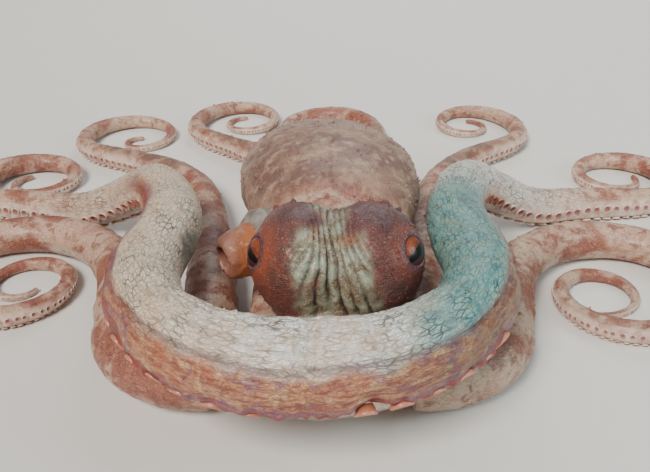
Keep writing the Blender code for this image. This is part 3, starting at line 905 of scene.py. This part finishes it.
# %% Colours and sockets
def linear(text):
    """An sRGB hex colour as linear red, green, blue and alpha."""
    values = [int(text[i:i + 2], 16) / 255 for i in (1, 3, 5)]
    return [v / 12.92 if v <= 0.04045 else ((v + 0.055) / 1.055) ** 2.4 for v in values] + [1.0]


def put(tree, socket, value):
    """Links an output to a socket, or sets the socket to a value or a hex colour."""
    if hasattr(value, "is_output"):
        tree.links.new(value, socket)
    else:
        is_colour = isinstance(value, str) and value.startswith("#")
        socket.default_value = linear(value) if is_colour else value


# %% Recipes for nodes
# Each has the node's type, the inputs that are given in order, the output that is used, and its
# settings. The one function below turns a recipe into a node, for materials and geometry alike.
BLEND = ("ShaderNodeMix", (0, 6, 7), 2, dict(data_type="RGBA"))
TINT = ("ShaderNodeMix", (0, 6, 7), 2, dict(data_type="RGBA", blend_type="MULTIPLY"))
RAMP = ("ShaderNodeMapRange", (0, 1, 2, 3, 4), 0, dict(interpolation_type="SMOOTHSTEP"))
COORDINATES = ("ShaderNodeTexCoord", (), "Object", {})
STORED = ("ShaderNodeAttribute", (), "Fac", {})
STORED_ROW = ("ShaderNodeAttribute", (), "Vector", {})
STRETCH = ("ShaderNodeMapping", ("Vector", "Scale"), 0, {})
WARP = ("ShaderNodeTexNoise", ("Vector", "Scale", "Detail"), 1, {})
BEND = ("ShaderNodeVectorMath", (0, 1, 2), 0, dict(operation="MULTIPLY_ADD"))
NOISE = ("ShaderNodeTexNoise", ("Vector", "Scale", "Detail", "Roughness", "Distortion"), 0, {})
CELLS = ("ShaderNodeTexVoronoi", ("Vector", "Scale"), 0, dict(feature="F1"))
CELL_EDGES = ("ShaderNodeTexVoronoi", ("Vector", "Scale"), 0, dict(feature="DISTANCE_TO_EDGE"))
SPLIT = ("ShaderNodeSeparateXYZ", (0,), None, {})
BUMP = ("ShaderNodeBump", ("Height", "Distance", "Strength"), 0, {})
PLUS, MINUS, TIMES, OVER, POWER, SIZE, LARGER = (
    ("ShaderNodeMath", (0, 1), 0, dict(operation=name))
    for name in ("ADD", "SUBTRACT", "MULTIPLY", "DIVIDE", "POWER", "ABSOLUTE", "MAXIMUM"))


def add(tree, recipe, *values, **settings):
    """Adds a node with its settings and links, and gives back the output that is used."""
    kind, inputs, output, fixed = recipe
    node = tree.nodes.new(kind)
    for key, value in {**fixed, **settings}.items():
        setattr(node, key, value)
    for key, value in zip(inputs, values):
        put(tree, node.inputs[key], value)
    return node if output is None else node.outputs[output]


# %% Starting and finishing a material
PER_MM = (1 / MM, 1 / MM, 1 / MM)


def new_material(name):
    """A new material, and the function above bound to its tree."""
    material = bpy.data.materials.new(name)
    material.use_nodes = True
    return material, functools.partial(add, material.node_tree)


def finish(material, colour, height=None, distance=0.5, strength=0.9, **values):
    """Links the colour and the bump to the shader, and sets its other inputs."""
    tree = material.node_tree
    shader = tree.nodes["Principled BSDF"].inputs
    put(tree, shader["Base Color"], colour)
    if height is not None:
        put(tree, shader["Normal"], add(tree, BUMP, height, distance * MM, strength))
    for key, value in values.items():
        put(tree, shader[key.replace("_", " ")], value)
    print(material.name, len(tree.nodes), "nodes")
    return material


# %% [markdown]
# ## Skin
# Living octopus skin is a thin, wet, slightly see-through film over countless tiny bags of pigment,
# with a layer beneath that throws back white light. To the eye that is a soft sheen, specks in every
# colour and no flat tone anywhere. It could be painted on an image. Here noise and Voronoi cells draw
# it, because they need no image and fit any bend: the edges of the cells make the dark net on the
# arms, and their middles make the grains on the domes. The weights on the points choose between the
# kinds of skin.
#
# The coordinates are in millimetres, so a pattern's scale is 1 over its size. Specks under half a
# millimetre are left out, because they would be smaller than a pixel.

# %% Skin: scales, coordinates and weights
PATCH_SCALE = 0.045  # patches of 22 mm
BLOTCH_SCALE = 0.16  # blotches of 6 mm
SPECK_SCALE = 1.25  # specks of 0.8 mm
GRAIN_SCALE = 1.45  # grains of 0.7 mm
PORE_SCALE = 2.1  # pores of 0.5 mm
LILAC_SCALE = 0.12  # patches of 8 mm
HUE_SCALE = 0.09  # patches of 11 mm
WRINKLE_SCALE = 0.34  # wrinkles of 3 mm
# Along the arm, then towards the suckers and across
NET_SCALE = (0.19, 0.50, 0.50)  # meshes 5.3 mm long and 2 mm wide
SMALL_NET_SCALE = (0.42, 1.00, 1.00)  # meshes 2.4 mm long and 1 mm wide
STREAK_SCALE = (0.12, 0.50, 0.50)  # streaks 8 mm long and 2 mm wide
STAIN_SCALE = (0.05, 0.5, 0.5)  # stains 20 mm long and 2 mm wide

skin_finish, node = new_material("octopus_skin")
place = node(STRETCH, node(COORDINATES), PER_MM)
flow = node(STORED_ROW, attribute_name="flow")
flow_bent = node(BEND, node(WARP, place, 0.06, 1.0), (3.0, 3.0, 3.0), flow)
weight = {name: node(STORED, attribute_name=name) for name in (
    "limb", "head", "dome", "purple_and_painted_shade", "eyeside", "fold", "folded", "pale", "rosy", "warm", "teal_and_painted_cool_light",
    "ring", "seam", "edge", "brink", "oral", "collar", "funnel", "lid")}
print("weights:", len(weight))

# %% Skin: patterns that every kind of skin shares
grain = node(CELLS, place, GRAIN_SCALE)
patch = node(NOISE, place, PATCH_SCALE, 4.0, 0.6, 0.6)
blotch = node(NOISE, place, BLOTCH_SCALE, 5.0, 0.62, 0.25)
speck = node(NOISE, place, SPECK_SCALE, 3.0, 0.6)

# %% Skin: the mantle and the crown
# Grey-brown and red-brown patches, with dark specks.
brown = node(BLEND, node(RAMP, patch, 0.42, 0.60), "#77564A", "#96725E")
brown = node(BLEND, node(RAMP, blotch, 0.46, 0.68, 0.0, 0.8), brown, "#B99C82")
brown = node(BLEND, node(RAMP, speck, 0.56, 0.70, 0.0, 0.75), brown, "#5B302B")

# %% Skin: the dark net and the arms
# A net drawn out along each arm, worn away in places, over cream and red-brown.
net = node(CELL_EDGES, node(STRETCH, flow_bent, NET_SCALE), 1.0)
small_net = node(CELL_EDGES, node(STRETCH, flow_bent, SMALL_NET_SCALE), 1.0)
lines = node(RAMP, net, 0.025, 0.14, 1.0, 0.0)
small_lines = node(RAMP, small_net, 0.02, 0.15, 0.55, 0.0)
worn = node(RAMP, node(NOISE, flow_bent, 0.13, 4.0, 0.65), 0.40, 0.62, 1.0, 0.45)
web = node(LARGER, node(TIMES, lines, worn), small_lines)
web = node(TIMES, web, node(RAMP, patch, 0.36, 0.62, 0.9, 0.6))
ground = node(BLEND, node(RAMP, patch, 0.40, 0.58), "#A0604A", "#CDAA92")
ground = node(BLEND, node(RAMP, blotch, 0.52, 0.62, 0.0, 0.8), ground, "#8A4B3D")
netted = node(BLEND, node(TIMES, web, 0.66), ground, "#4F2B2C")
netted = node(BLEND, node(RAMP, speck, 0.58, 0.72, 0.0, 0.5), netted, "#EAD3B6")

# %% Skin: the pale band of the ring
# Cream with grey-pink stains, warmer on the animal's right, under the same net in near black.
cream = node(BLEND, node(RAMP, blotch, 0.42, 0.68), "#FFFBF2", "#EADBC4")
cream = node(BLEND, node(TIMES, node(RAMP, patch, 0.46, 0.62), 0.32), cream, "#CFA893")
stain = node(NOISE, node(STRETCH, flow_bent, STAIN_SCALE), 1.0, 3.0, 0.55)
cream = node(BLEND, node(RAMP, stain, 0.54, 0.66, 0.0, 0.45), cream, "#A58F86")
cream = node(BLEND, node(TIMES, weight["warm"], 0.62), cream, "#E0BD94")
pale = node(BLEND, web, cream, "#33262A")

# %% Skin: the rosy front of the ring
# Brown and buff streaks along the arm, with orange and lilac between them.
streak = node(NOISE, node(STRETCH, flow_bent, STREAK_SCALE), 1.0, 3.0, 0.6)
rosy = node(BLEND, node(RAMP, streak, 0.36, 0.62), "#93503A", "#C48A62")
rosy = node(BLEND, node(RAMP, blotch, 0.50, 0.66, 0.0, 0.7), rosy, "#DDB88A")
rosy = node(BLEND, node(RAMP, patch, 0.50, 0.62, 0.0, 0.5), rosy, "#B05F2E")
lilac = node(NOISE, place, LILAC_SCALE, 4.0, 0.65, 0.4)
rosy = node(BLEND, node(RAMP, lilac, 0.53, 0.64, 0.0, 0.6), rosy, "#7C4A62")
rosy = node(BLEND, node(TIMES, small_lines, 0.8), rosy, "#5C3340")

# %% Skin: the folded head
# Pale grey-green ridges, blotched brown, with painted shade darkening the thin grooves between them.
ridges = node(BLEND, node(RAMP, blotch, 0.40, 0.60), "#959D88", "#74664F")
ridges = node(BLEND, node(RAMP, speck, 0.50, 0.66, 0.0, 0.6), ridges, "#C6C7B3")
ridges = node(BLEND, node(RAMP, patch, 0.54, 0.66, 0.0, 0.6), ridges, "#A8623F")
# Painted shade: the grooves between the folds go near black
head = node(BLEND, node(TIMES, weight["fold"], weight["folded"]), ridges, "#3A2A24")

# %% Skin: the granular domes
# Orange-red and brown grains with dark lines between them, orange at the eyes, and dark purple above,
# partly the domes' own colour and partly painted shade.
bead = node(RAMP, grain, 0.15, 0.60)
hue = node(RAMP, node(NOISE, place, HUE_SCALE, 3.0, 0.6), 0.40, 0.60)
granular = node(BLEND, hue, "#934A33", "#6C4236")
granular = node(BLEND, node(TIMES, weight["eyeside"], 0.75), granular, "#BE5624")
granular = node(BLEND, node(TIMES, bead, 0.55), granular, "#54302B")
# Dark purple at the top, on the animal's left and round the lower rim: partly the domes' own colour,
# partly painted shade
granular = node(BLEND, node(TIMES, weight["purple_and_painted_shade"], 0.75), granular, "#4A2E38")
granular = node(BLEND, node(RAMP, speck, 0.60, 0.72, 0.0, 0.55), granular, "#E2BFA0")

# %% Skin: margin, sucker side, funnel, collar and eyelids
margin_red = node(BLEND, node(RAMP, blotch, 0.44, 0.60), "#8A2A12", "#641D1E")
underside = node(BLEND, node(RAMP, blotch, 0.40, 0.62), "#EBDCCB", "#CFAF9F")
sideways = node(SPLIT, place).outputs[0]
funnel = node(BLEND, node(RAMP, patch, 0.42, 0.62), "#9A6A58", "#7C5247")
funnel = node(BLEND, node(RAMP, sideways, -38.0, -29.0, 0.0, 0.85), funnel, "#A95F2A")
collar = node(BLEND, node(RAMP, blotch, 0.40, 0.62), "#92958E", "#726A64")
lid = node(BLEND, node(RAMP, speck, 0.42, 0.60), "#522A2E", "#7D5254")

# %% Skin: each kind in its zone
colour = node(BLEND, weight["limb"], brown, netted)
colour = node(BLEND, weight["head"], colour, head)
bitten = node(PLUS, weight["dome"], node(TIMES, node(MINUS, speck, 0.5), 0.9))
colour = node(BLEND, node(RAMP, bitten, 0.2, 0.8), colour, granular)
colour = node(BLEND, weight["pale"], colour, pale)
colour = node(BLEND, weight["rosy"], colour, rosy)
# A blue-green tint on the animal's left: partly the skin's own colour, partly painted cool light from
# that side
teal_tint_and_painted_cool_light = node(BLEND, node(RAMP, blotch, 0.35, 0.65), "#3D98A1", "#8CCACB")
colour = node(TINT, node(TIMES, weight["teal_and_painted_cool_light"], 0.92), colour, teal_tint_and_painted_cool_light)
# Painted shade: the crease under the ring's pale top is darkened
colour = node(BLEND, node(TIMES, weight["seam"], 0.6), colour, "#5A3B46")
colour = node(BLEND, node(TIMES, weight["brink"], 0.6), colour, "#6A4064")
colour = node(BLEND, weight["edge"], colour, margin_red)
colour = node(BLEND, node(TIMES, weight["oral"], 0.85), colour, underside)
colour = node(BLEND, node(TIMES, weight["collar"], 0.85), colour, collar)
colour = node(BLEND, weight["funnel"], colour, funnel)
colour = node(BLEND, weight["lid"], colour, lid)

# %% Skin: bump and sheen
# Grains on the domes, pores everywhere, and creases along the ring. The moist film is half matt with
# a thin coat, and light goes about 1 to 2.5 mm into the flesh, redder the deeper it goes.
grains = node(TIMES, node(RAMP, grain, 0.0, 0.65, 1.0, 0.0), weight["dome"])
pores = node(TIMES, node(RAMP, node(CELLS, place, PORE_SCALE), 0.0, 0.6, 1.0, 0.0), 0.35)
creases = node(TIMES, node(MINUS, streak, node(TIMES, web, 0.5)),
               node(PLUS, node(TIMES, weight["ring"], 1.2), 0.3))
wrinkled = node(TIMES, node(NOISE, place, WRINKLE_SCALE, 4.0, 0.6, 0.4), 1.3)
height = node(PLUS, node(PLUS, grains, pores), node(PLUS, creases, wrinkled))
finish(skin_finish, colour, height, Roughness=node(RAMP, blotch, 0.35, 0.65, 0.36, 0.52),
       Subsurface_Weight=0.12, Subsurface_Radius=(1.0, 0.45, 0.3), Subsurface_Scale=2.5 * MM,
       Coat_Weight=0.2, Coat_Roughness=0.25)
skin.data.materials.clear()
skin.data.materials.append(skin_finish)

# %% [markdown]
# ## Eyes
# The eye is a ball about 21 mm across, deep in its socket, and its lids leave less than half of it
# open. The pupil is a dark slit, and the iris is orange-brown and flecked. A flat painted disc would
# look dead, because the real eye bulges, and its wet surface catches the light. So it is a whole
# ball. The slit and the iris are drawn on it from its own coordinates: along the slit, over it, and
# out of the socket.

# %% Eye: the slit
SLIT_REACH = 6.9  # half its length
SLIT_HALF = 1.95  # half its width in the middle
SLIT_DROP = 0.7  # how far it lies below the middle

eye_finish, node = new_material("octopus_eye")
on_eye = node(STORED_ROW, attribute_name="eye")
sides = node(SPLIT, on_eye)
along, over = sides.outputs[0], sides.outputs[1]
reach = node(OVER, along, SLIT_REACH)
sag = node(MINUS, 1.0, node(TIMES, reach, reach), use_clamp=True)
half = node(TIMES, node(POWER, sag, 0.5), SLIT_HALF)
gap = node(MINUS, node(SIZE, node(PLUS, over, SLIT_DROP)), half)
slit = node(RAMP, gap, -0.1, 0.25, 1.0, 0.0)

# %% Eye: the iris and the wet surface
# A clear cornea under a film of water, IOR 1.38 and 1.33: a sharp small highlight on a dull iris.
wide = node(POWER, node(PLUS, node(TIMES, along, along), node(TIMES, over, over)), 0.5)
fleck = node(NOISE, node(STRETCH, on_eye, (1.0, 1.6, 1.0)), 0.8, 4.0, 0.55)
iris = node(BLEND, node(RAMP, fleck, 0.40, 0.62), "#4F241C", "#803F26")
iris = node(BLEND, node(RAMP, over, -3.5, 0.0), "#46262A", iris)
iris = node(BLEND, node(TIMES, node(RAMP, over, 1.0, 4.5), 0.3), iris, "#B0602F")
iris = node(BLEND, node(RAMP, wide, 4.6, 7.4), iris, "#3E2028")
finish(eye_finish, node(BLEND, slit, iris, "#020202"), Roughness=0.35, IOR=1.38,
       Coat_Weight=0.4, Coat_IOR=1.33, Coat_Roughness=0.04)

# %% Place the eyes
eyes = []
for name, dome, looks, roll in EYES:
    centre, looks = eye_centre(dome, looks)
    flat = unit(np.cross((0, 0, 1.0), looks))
    rise = np.cross(looks, flat)
    a = math.radians(roll)
    slit_along = flat * math.cos(a) + rise * math.sin(a)
    slit_over = np.cross(looks, slit_along)
    eye = ellipsoid("dressed_" + name, centre, [EYE_RADIUS] * 3, rings=36)
    off = coordinates(eye.data) - centre
    write_vector(eye.data, "eye", np.stack([off @ slit_along, off @ slit_over, off @ looks], axis=1))
    eye.data.shade_smooth()
    eye.data.materials.append(eye_finish)
    eyes.append((eye, name))
print("eyes:", len(eyes))

# %% [markdown]
# ## Suckers
# Two rows of cups run along each arm: pale flesh with a raised rim round a hollow, 11 mm across
# near the mouth and 1 mm at the tip, with painted shade that darkens the hollow. They are too many
# to place by hand, and all have one form. So one cup is turned from its profile with few faces, and a
# Geometry Nodes tree sets it on each point of a list, facing outwards. The tree's inputs have names,
# and the small spread of its sizes comes from a fixed seed. It ends by making the copies real and
# giving them their finish, because an export drops mere copies.

# %% One sucker
SUCKER_PROFILE = (
    # out from the middle and height, in sucker radii, then the place from foot to cup, 0 to 1
    (0.64, -0.45, 0.0), (0.86, 0.16, 0.18), (1.0, 0.38, 0.36), (0.86, 0.52, 0.56), (0.56, 0.30, 0.76),
    (0.24, 0.11, 1.0),
)
SUCKER_SIDES = 12


def sucker_form():
    """A cup 1 mm in radius, turned from its profile."""
    bm = bmesh.new()
    layer = bm.verts.layers.float.new("cup")
    loops = []
    turns = [2 * math.pi * k / SUCKER_SIDES for k in range(SUCKER_SIDES)]
    for out, rise, cup in SUCKER_PROFILE:
        loop = [bm.verts.new((out * math.cos(a), out * math.sin(a), rise)) for a in turns]
        for vert in loop:
            vert[layer] = cup
        loops.append(loop)
    for near, far in zip(loops[:-1], loops[1:]):
        for k in range(SUCKER_SIDES):
            j = (k + 1) % SUCKER_SIDES
            bm.faces.new((near[k], near[j], far[j], far[k]))
    bm.faces.new(loops[0][::-1])
    bm.faces.new(loops[-1])
    bm.transform(Matrix.Scale(MM, 4))
    return mesh_object("sucker_form", bm)


# %% Where the suckers stand
SUCKER_SIZE = 0.30  # of the arm's radius
SMALLEST_SUCKER = 0.42
SUCKER_SPREAD = 31  # degrees to each side
SUCKER_PITCH = 1.08  # sucker radii from one to the next, in rows that take turns


def sucker_spots(arm):
    """Places in two rows that take turns, with the way each sucker faces and its radius."""
    way = ways[arm["name"]]
    spots, facing, sizes = [], [], []
    s, row = (10.0 if arm["lift"] is not ON_FLOOR else leaves_crown(arm) - 10), 0
    while s < way["length"] - 1.5:
        i = int(s / STEP)
        radius = way["radius"][i]
        a = math.radians(SUCKER_SPREAD if row % 2 else -SUCKER_SPREAD)
        out = way["down"][i] * math.cos(a) + way["across"][i] * math.sin(a)
        reach = way["down"][i] * math.cos(a) * ARM_HEIGHT + way["across"][i] * math.sin(a)
        spots.append(way["points"][i] + reach * radius * 0.97)
        facing.append(out)
        sizes.append(max(radius * SUCKER_SIZE, SMALLEST_SUCKER))
        s += SUCKER_PITCH * sizes[-1]
        row += 1
    return spots, facing, sizes


# %% The tree that sets a form on points
scatter = bpy.data.node_groups.new("forms_on_points", "GeometryNodeTree")
for name, kind in (("Geometry", "Geometry"), ("Form", "Object"), ("Size spread", "Float"),
                   ("Seed", "Int"), ("Material", "Material")):
    scatter.interface.new_socket(name, in_out="INPUT", socket_type="NodeSocket" + kind)
scatter.interface.new_socket("Geometry", in_out="OUTPUT", socket_type="NodeSocketGeometry")
node = functools.partial(add, scatter)
given = node(("NodeGroupInput", (), None, {})).outputs
named = ("GeometryNodeInputNamedAttribute", ("Name",), 0, {})
facing = node(named, "facing", data_type="FLOAT_VECTOR")
size = node(named, "size", data_type="FLOAT")
form = node(("GeometryNodeObjectInfo", ("Object",), "Geometry", {}), given["Form"])
turn = node(("FunctionNodeAlignRotationToVector", ("Vector",), 0, dict(axis="Z")), facing)
least = node(MINUS, 1.0, given["Size spread"])
chance = node(("FunctionNodeRandomValue", (2, 3, "Seed"), 1, dict(data_type="FLOAT")),
              least, 1.0, given["Seed"])
placed = node(("GeometryNodeInstanceOnPoints", ("Points", "Instance", "Rotation", "Scale"), 0, {}),
              given["Geometry"], form, turn, node(TIMES, size, chance))
real = node(("GeometryNodeRealizeInstances", ("Geometry",), 0, {}), placed)
coloured = node(("GeometryNodeSetMaterial", ("Geometry", "Material"), 0, {}), real, given["Material"])
node(("NodeGroupOutput", (0,), None, {}), coloured)
print("scatter tree:", len(scatter.nodes), "nodes")

# %% Sucker finish
# Bare wet muscle with little pigment: pale, soft and slightly see-through, with painted shade that
# darkens the hollow of the cup, and orange-brown where it shows at the ring's margin.
SUCKER_MOTTLE = 0.5  # mottling of 2 mm

flesh, node = new_material("sucker_flesh")
place = node(STRETCH, node(COORDINATES), PER_MM)
cup = node(STORED, attribute_name="cup")
mottle = node(NOISE, place, SUCKER_MOTTLE, 3.0, 0.55)
rim = node(BLEND, node(RAMP, mottle, 0.40, 0.62), "#E6CFBD", "#C49A8B")
level = node(SPLIT, place).outputs[2]
rim = node(BLEND, node(RAMP, level, 28.0, 34.0, 0.0, 0.85), rim, "#B0694C")
# Painted shade: the hollow of the cup is darkened
colour = node(BLEND, node(RAMP, cup, 0.45, 0.85), rim, "#8C5A55")
colour = node(BLEND, node(RAMP, cup, 0.0, 0.30, 1.0, 0.0), colour, "#96583F")
finish(flesh, colour, Roughness=0.4, Subsurface_Weight=0.15, Subsurface_Radius=(1.0, 0.5, 0.4),
       Subsurface_Scale=1.5 * MM, Coat_Weight=0.15, Coat_Roughness=0.25)

# %% [markdown]
# ## Papillae
# Papillae are soft points that the animal raises to look like weed or rock: many small ones on the
# mantle and the upper sides of the arms, and a few large ones behind each eye. They could be pushed
# out of the skin itself, but its faces are too coarse for that. So they are small pointed forms that
# the same node tree scatters, sunk a little into the skin. They read the same zones as the skin under
# them, and so take its colours.

# %% One papilla
PAPILLA_PROFILE = ((1.25, -0.5), (1.0, 0.0), (0.72, 0.42), (0.44, 0.85), (0.2, 1.15))
PAPILLA_TIP = 1.3
PAPILLA_SIDES = 10


def papilla_form():
    """A small soft cone 1 mm in radius, turned from its profile."""
    bm = bmesh.new()
    turns = [2 * math.pi * k / PAPILLA_SIDES for k in range(PAPILLA_SIDES)]
    loops = [[bm.verts.new((out * math.cos(a), out * math.sin(a), rise)) for a in turns]
             for out, rise in PAPILLA_PROFILE]
    for near, far in zip(loops[:-1], loops[1:]):
        for k in range(PAPILLA_SIDES):
            j = (k + 1) % PAPILLA_SIDES
            bm.faces.new((near[k], near[j], far[j], far[k]))
    bm.faces.new(loops[0][::-1])
    top = bm.verts.new((0, 0, PAPILLA_TIP))
    for k in range(PAPILLA_SIDES):
        bm.faces.new((loops[-1][k], loops[-1][(k + 1) % PAPILLA_SIDES], top))
    bm.transform(Matrix.Scale(MM, 4))
    return mesh_object("papilla_form", bm)


# %% Where the papillae stand
PAPILLAE = 1500
LARGE_PAPILLAE = (
    # nearest place on the skin, then size
    (-19, 22, 80, 2.4), (-9, 27, 82, 1.9), (35, 24, 84, 3.2), (42, 19, 79, 2.5),
    (27, 27, 82, 2.1), (39, 27, 78, 2.7),
)


def papilla_spots():
    """Random points of the skin, likelier where its weights say so, then the large ones."""
    rng = np.random.default_rng(SEED)
    up = np.empty(len(skin.data.vertices) * 3)
    skin.data.vertices.foreach_get("normal", up)
    up = up.reshape(-1, 3)
    z = zone
    upper = step_up(up[:, 2], -0.05, 0.5)
    chance = upper * (z.mantle * 1.0 + z.limb * (1 - z.oral) * (1 - 0.75 * z.ring) * 0.35)
    chance = chance + 0.12 * z.head * step_up(z.outside, 0, 5) * (1 - z.lid)
    chance *= (z.funnel < 0.05) * (z.collar < 0.05) * (z.radius > 4)
    chance *= 0.25 + step_up(lumps(z.points, 14, 13), -0.1, 0.4)
    # A Boolean gives its points in another order each run, so the draw goes by their places
    order = np.lexsort(np.round(z.points, 2).T)
    share = chance[order] / chance.sum()
    chosen = order[rng.choice(len(order), PAPILLAE, replace=False, p=share)]
    spots = [z.points[i] for i in chosen]
    facing = [up[i] for i in chosen]
    sizes = list(np.clip(rng.gamma(4.0, 0.14, PAPILLAE), 0.3, 1.3))
    for x, y, h, size in LARGE_PAPILLAE:
        i = int(np.argmin(np.linalg.norm(z.points - (x, y, h), axis=1)))
        spots.append(z.points[i])
        facing.append(unit(up[i] + (0, 0.3, 0.6)))
        sizes.append(size)
    return spots, facing, sizes


# %% Scatter a form on a list of points
def scattered(name, spots, facing, sizes, form, material, spread, seed):
    """Gives the points to the node tree, and keeps its result as a plain mesh."""
    mesh = bpy.data.meshes.new(name)
    mesh.from_pydata([tuple(spot * MM) for spot in np.array(spots)], [], [])
    write_vector(mesh, "facing", facing)
    write_float(mesh, "size", sizes)
    obj = bpy.data.objects.new(name, mesh)
    bpy.context.scene.collection.objects.link(obj)
    grown = obj.modifiers.new("Scattered", "NODES")
    grown.node_group = scatter
    given = {item.name: item.identifier for item in scatter.interface.items_tree
             if item.in_out == "INPUT"}
    grown[given["Form"]] = form
    grown[given["Size spread"]] = spread
    grown[given["Seed"]] = seed
    grown[given["Material"]] = material
    bake(obj)
    set_coordinates(obj.data, within_box(coordinates(obj.data)))
    obj.data.shade_smooth()
    print(obj.name, len(spots), "placed,", len(obj.data.polygons), "faces")
    return obj


# %% Set the suckers and the papillae
# How much smaller than its own size a form may come out
SUCKER_SPREAD_OF_SIZE = 0.18
PAPILLA_SPREAD_OF_SIZE = 0.35
form = sucker_form()
suckers = [scattered("suckers_" + arm["name"], *sucker_spots(arm), form, flesh,
                     SUCKER_SPREAD_OF_SIZE, SEED + number)
           for number, arm in enumerate(ARMS)]
drop(form)
form = papilla_form()
papillae = scattered("papillae", *papilla_spots(), form, skin.data.materials[0],
                     PAPILLA_SPREAD_OF_SIZE, SEED)
drop(form)
bumps = locate(coordinates(papillae.data))
add_zones(bumps)
dress(papillae.data, bumps)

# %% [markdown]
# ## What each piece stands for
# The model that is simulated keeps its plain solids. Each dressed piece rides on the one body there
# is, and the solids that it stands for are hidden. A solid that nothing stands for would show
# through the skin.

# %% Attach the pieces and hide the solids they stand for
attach(skin, "root")
flesh_nodes = [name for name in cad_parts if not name.startswith("eye_")]
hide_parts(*flesh_nodes)
for obj in (*suckers, papillae):
    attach(obj, "root")
for eye, name in eyes:
    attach(eye, "root")
    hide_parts(name)
print("nodes stood for:", len(flesh_nodes) + len(eyes))

# %% [markdown]
# ## Floor, light and camera
# A cast on show stands on something plain, in soft light. A large lamp close by would also be soft,
# but the floor would go dark away from it. So the main light is a distant one with a wide disc, which
# is soft and the same everywhere, and two weaker lamps lift the shadows, cool on one side. The camera
# looks down at the head from in front.

# %% The floor
# Matt paint on a level board: it throws back an even light and shows no reflection.
FLOOR_HALF = 40.0  # metres, so that no edge of it is seen
bm = bmesh.new()
bmesh.ops.create_grid(bm, x_segments=1, y_segments=1, size=FLOOR_HALF)
floor = mesh_object("studio_floor", bm)
floor_paint, _ = new_material("studio_floor_paint")
floor.data.materials.append(finish(floor_paint, "#DCDAD6", Roughness=0.8))

# %% The lights
CAMERA = Vector((0.011, -0.359, 0.268))
TARGET = Vector((0.011, 0.005, 0.058))
AIR_LIGHT = 0.30


def add_light(kind, name, place, power, colour, **settings):
    """A light that shines on the head from a place."""
    data = bpy.data.lights.new(name, kind)
    data.energy = power
    data.color = linear(colour)[:3]
    for key, value in settings.items():
        setattr(data, key, value)
    obj = bpy.data.objects.new(name, data)
    obj.location = place
    obj.rotation_euler = (TARGET - Vector(place)).to_track_quat("-Z", "Y").to_euler()
    bpy.context.scene.collection.objects.link(obj)


add_light("SUN", "key_light", (-0.28, -0.62, 0.78), 3.9, "#FFF8F0", angle=math.radians(20))
add_light("AREA", "fill_light", (0.80, -0.25, 0.45), 4.0, "#D8F2F5", shape="DISK", size=0.50)
add_light("AREA", "back_light", (0.10, 0.95, 0.75), 4.0, "#FFFFFF", shape="DISK", size=0.80)
world = bpy.data.worlds.new("studio_air")
world.use_nodes = True
air = world.node_tree.nodes["Background"].inputs
air[0].default_value = linear("#E6EAEC")
air[1].default_value = AIR_LIGHT
bpy.context.scene.world = world
print("lights:", len(bpy.data.lights))

# %% The camera
# The picture is 650 points wide, and the lens and the shift are counted in those points.
PICTURE_WIDTH = 650
FOCAL_LENGTH = 955.5
SHIFT = (-12, 21)
SENSOR = 36.0
data = bpy.data.cameras.new("photo_view")
data.sensor_width = SENSOR
data.lens = FOCAL_LENGTH / PICTURE_WIDTH * SENSOR
data.shift_x = SHIFT[0] / PICTURE_WIDTH
data.shift_y = SHIFT[1] / PICTURE_WIDTH
data.clip_start = 0.01
data.clip_end = 20.0
camera = bpy.data.objects.new("photo_view", data)
camera.location = CAMERA
camera.rotation_euler = (TARGET - CAMERA).to_track_quat("-Z", "Y").to_euler()
bpy.context.scene.collection.objects.link(camera)
bpy.context.scene.camera = camera
print("lens:", round(data.lens, 2), "mm")
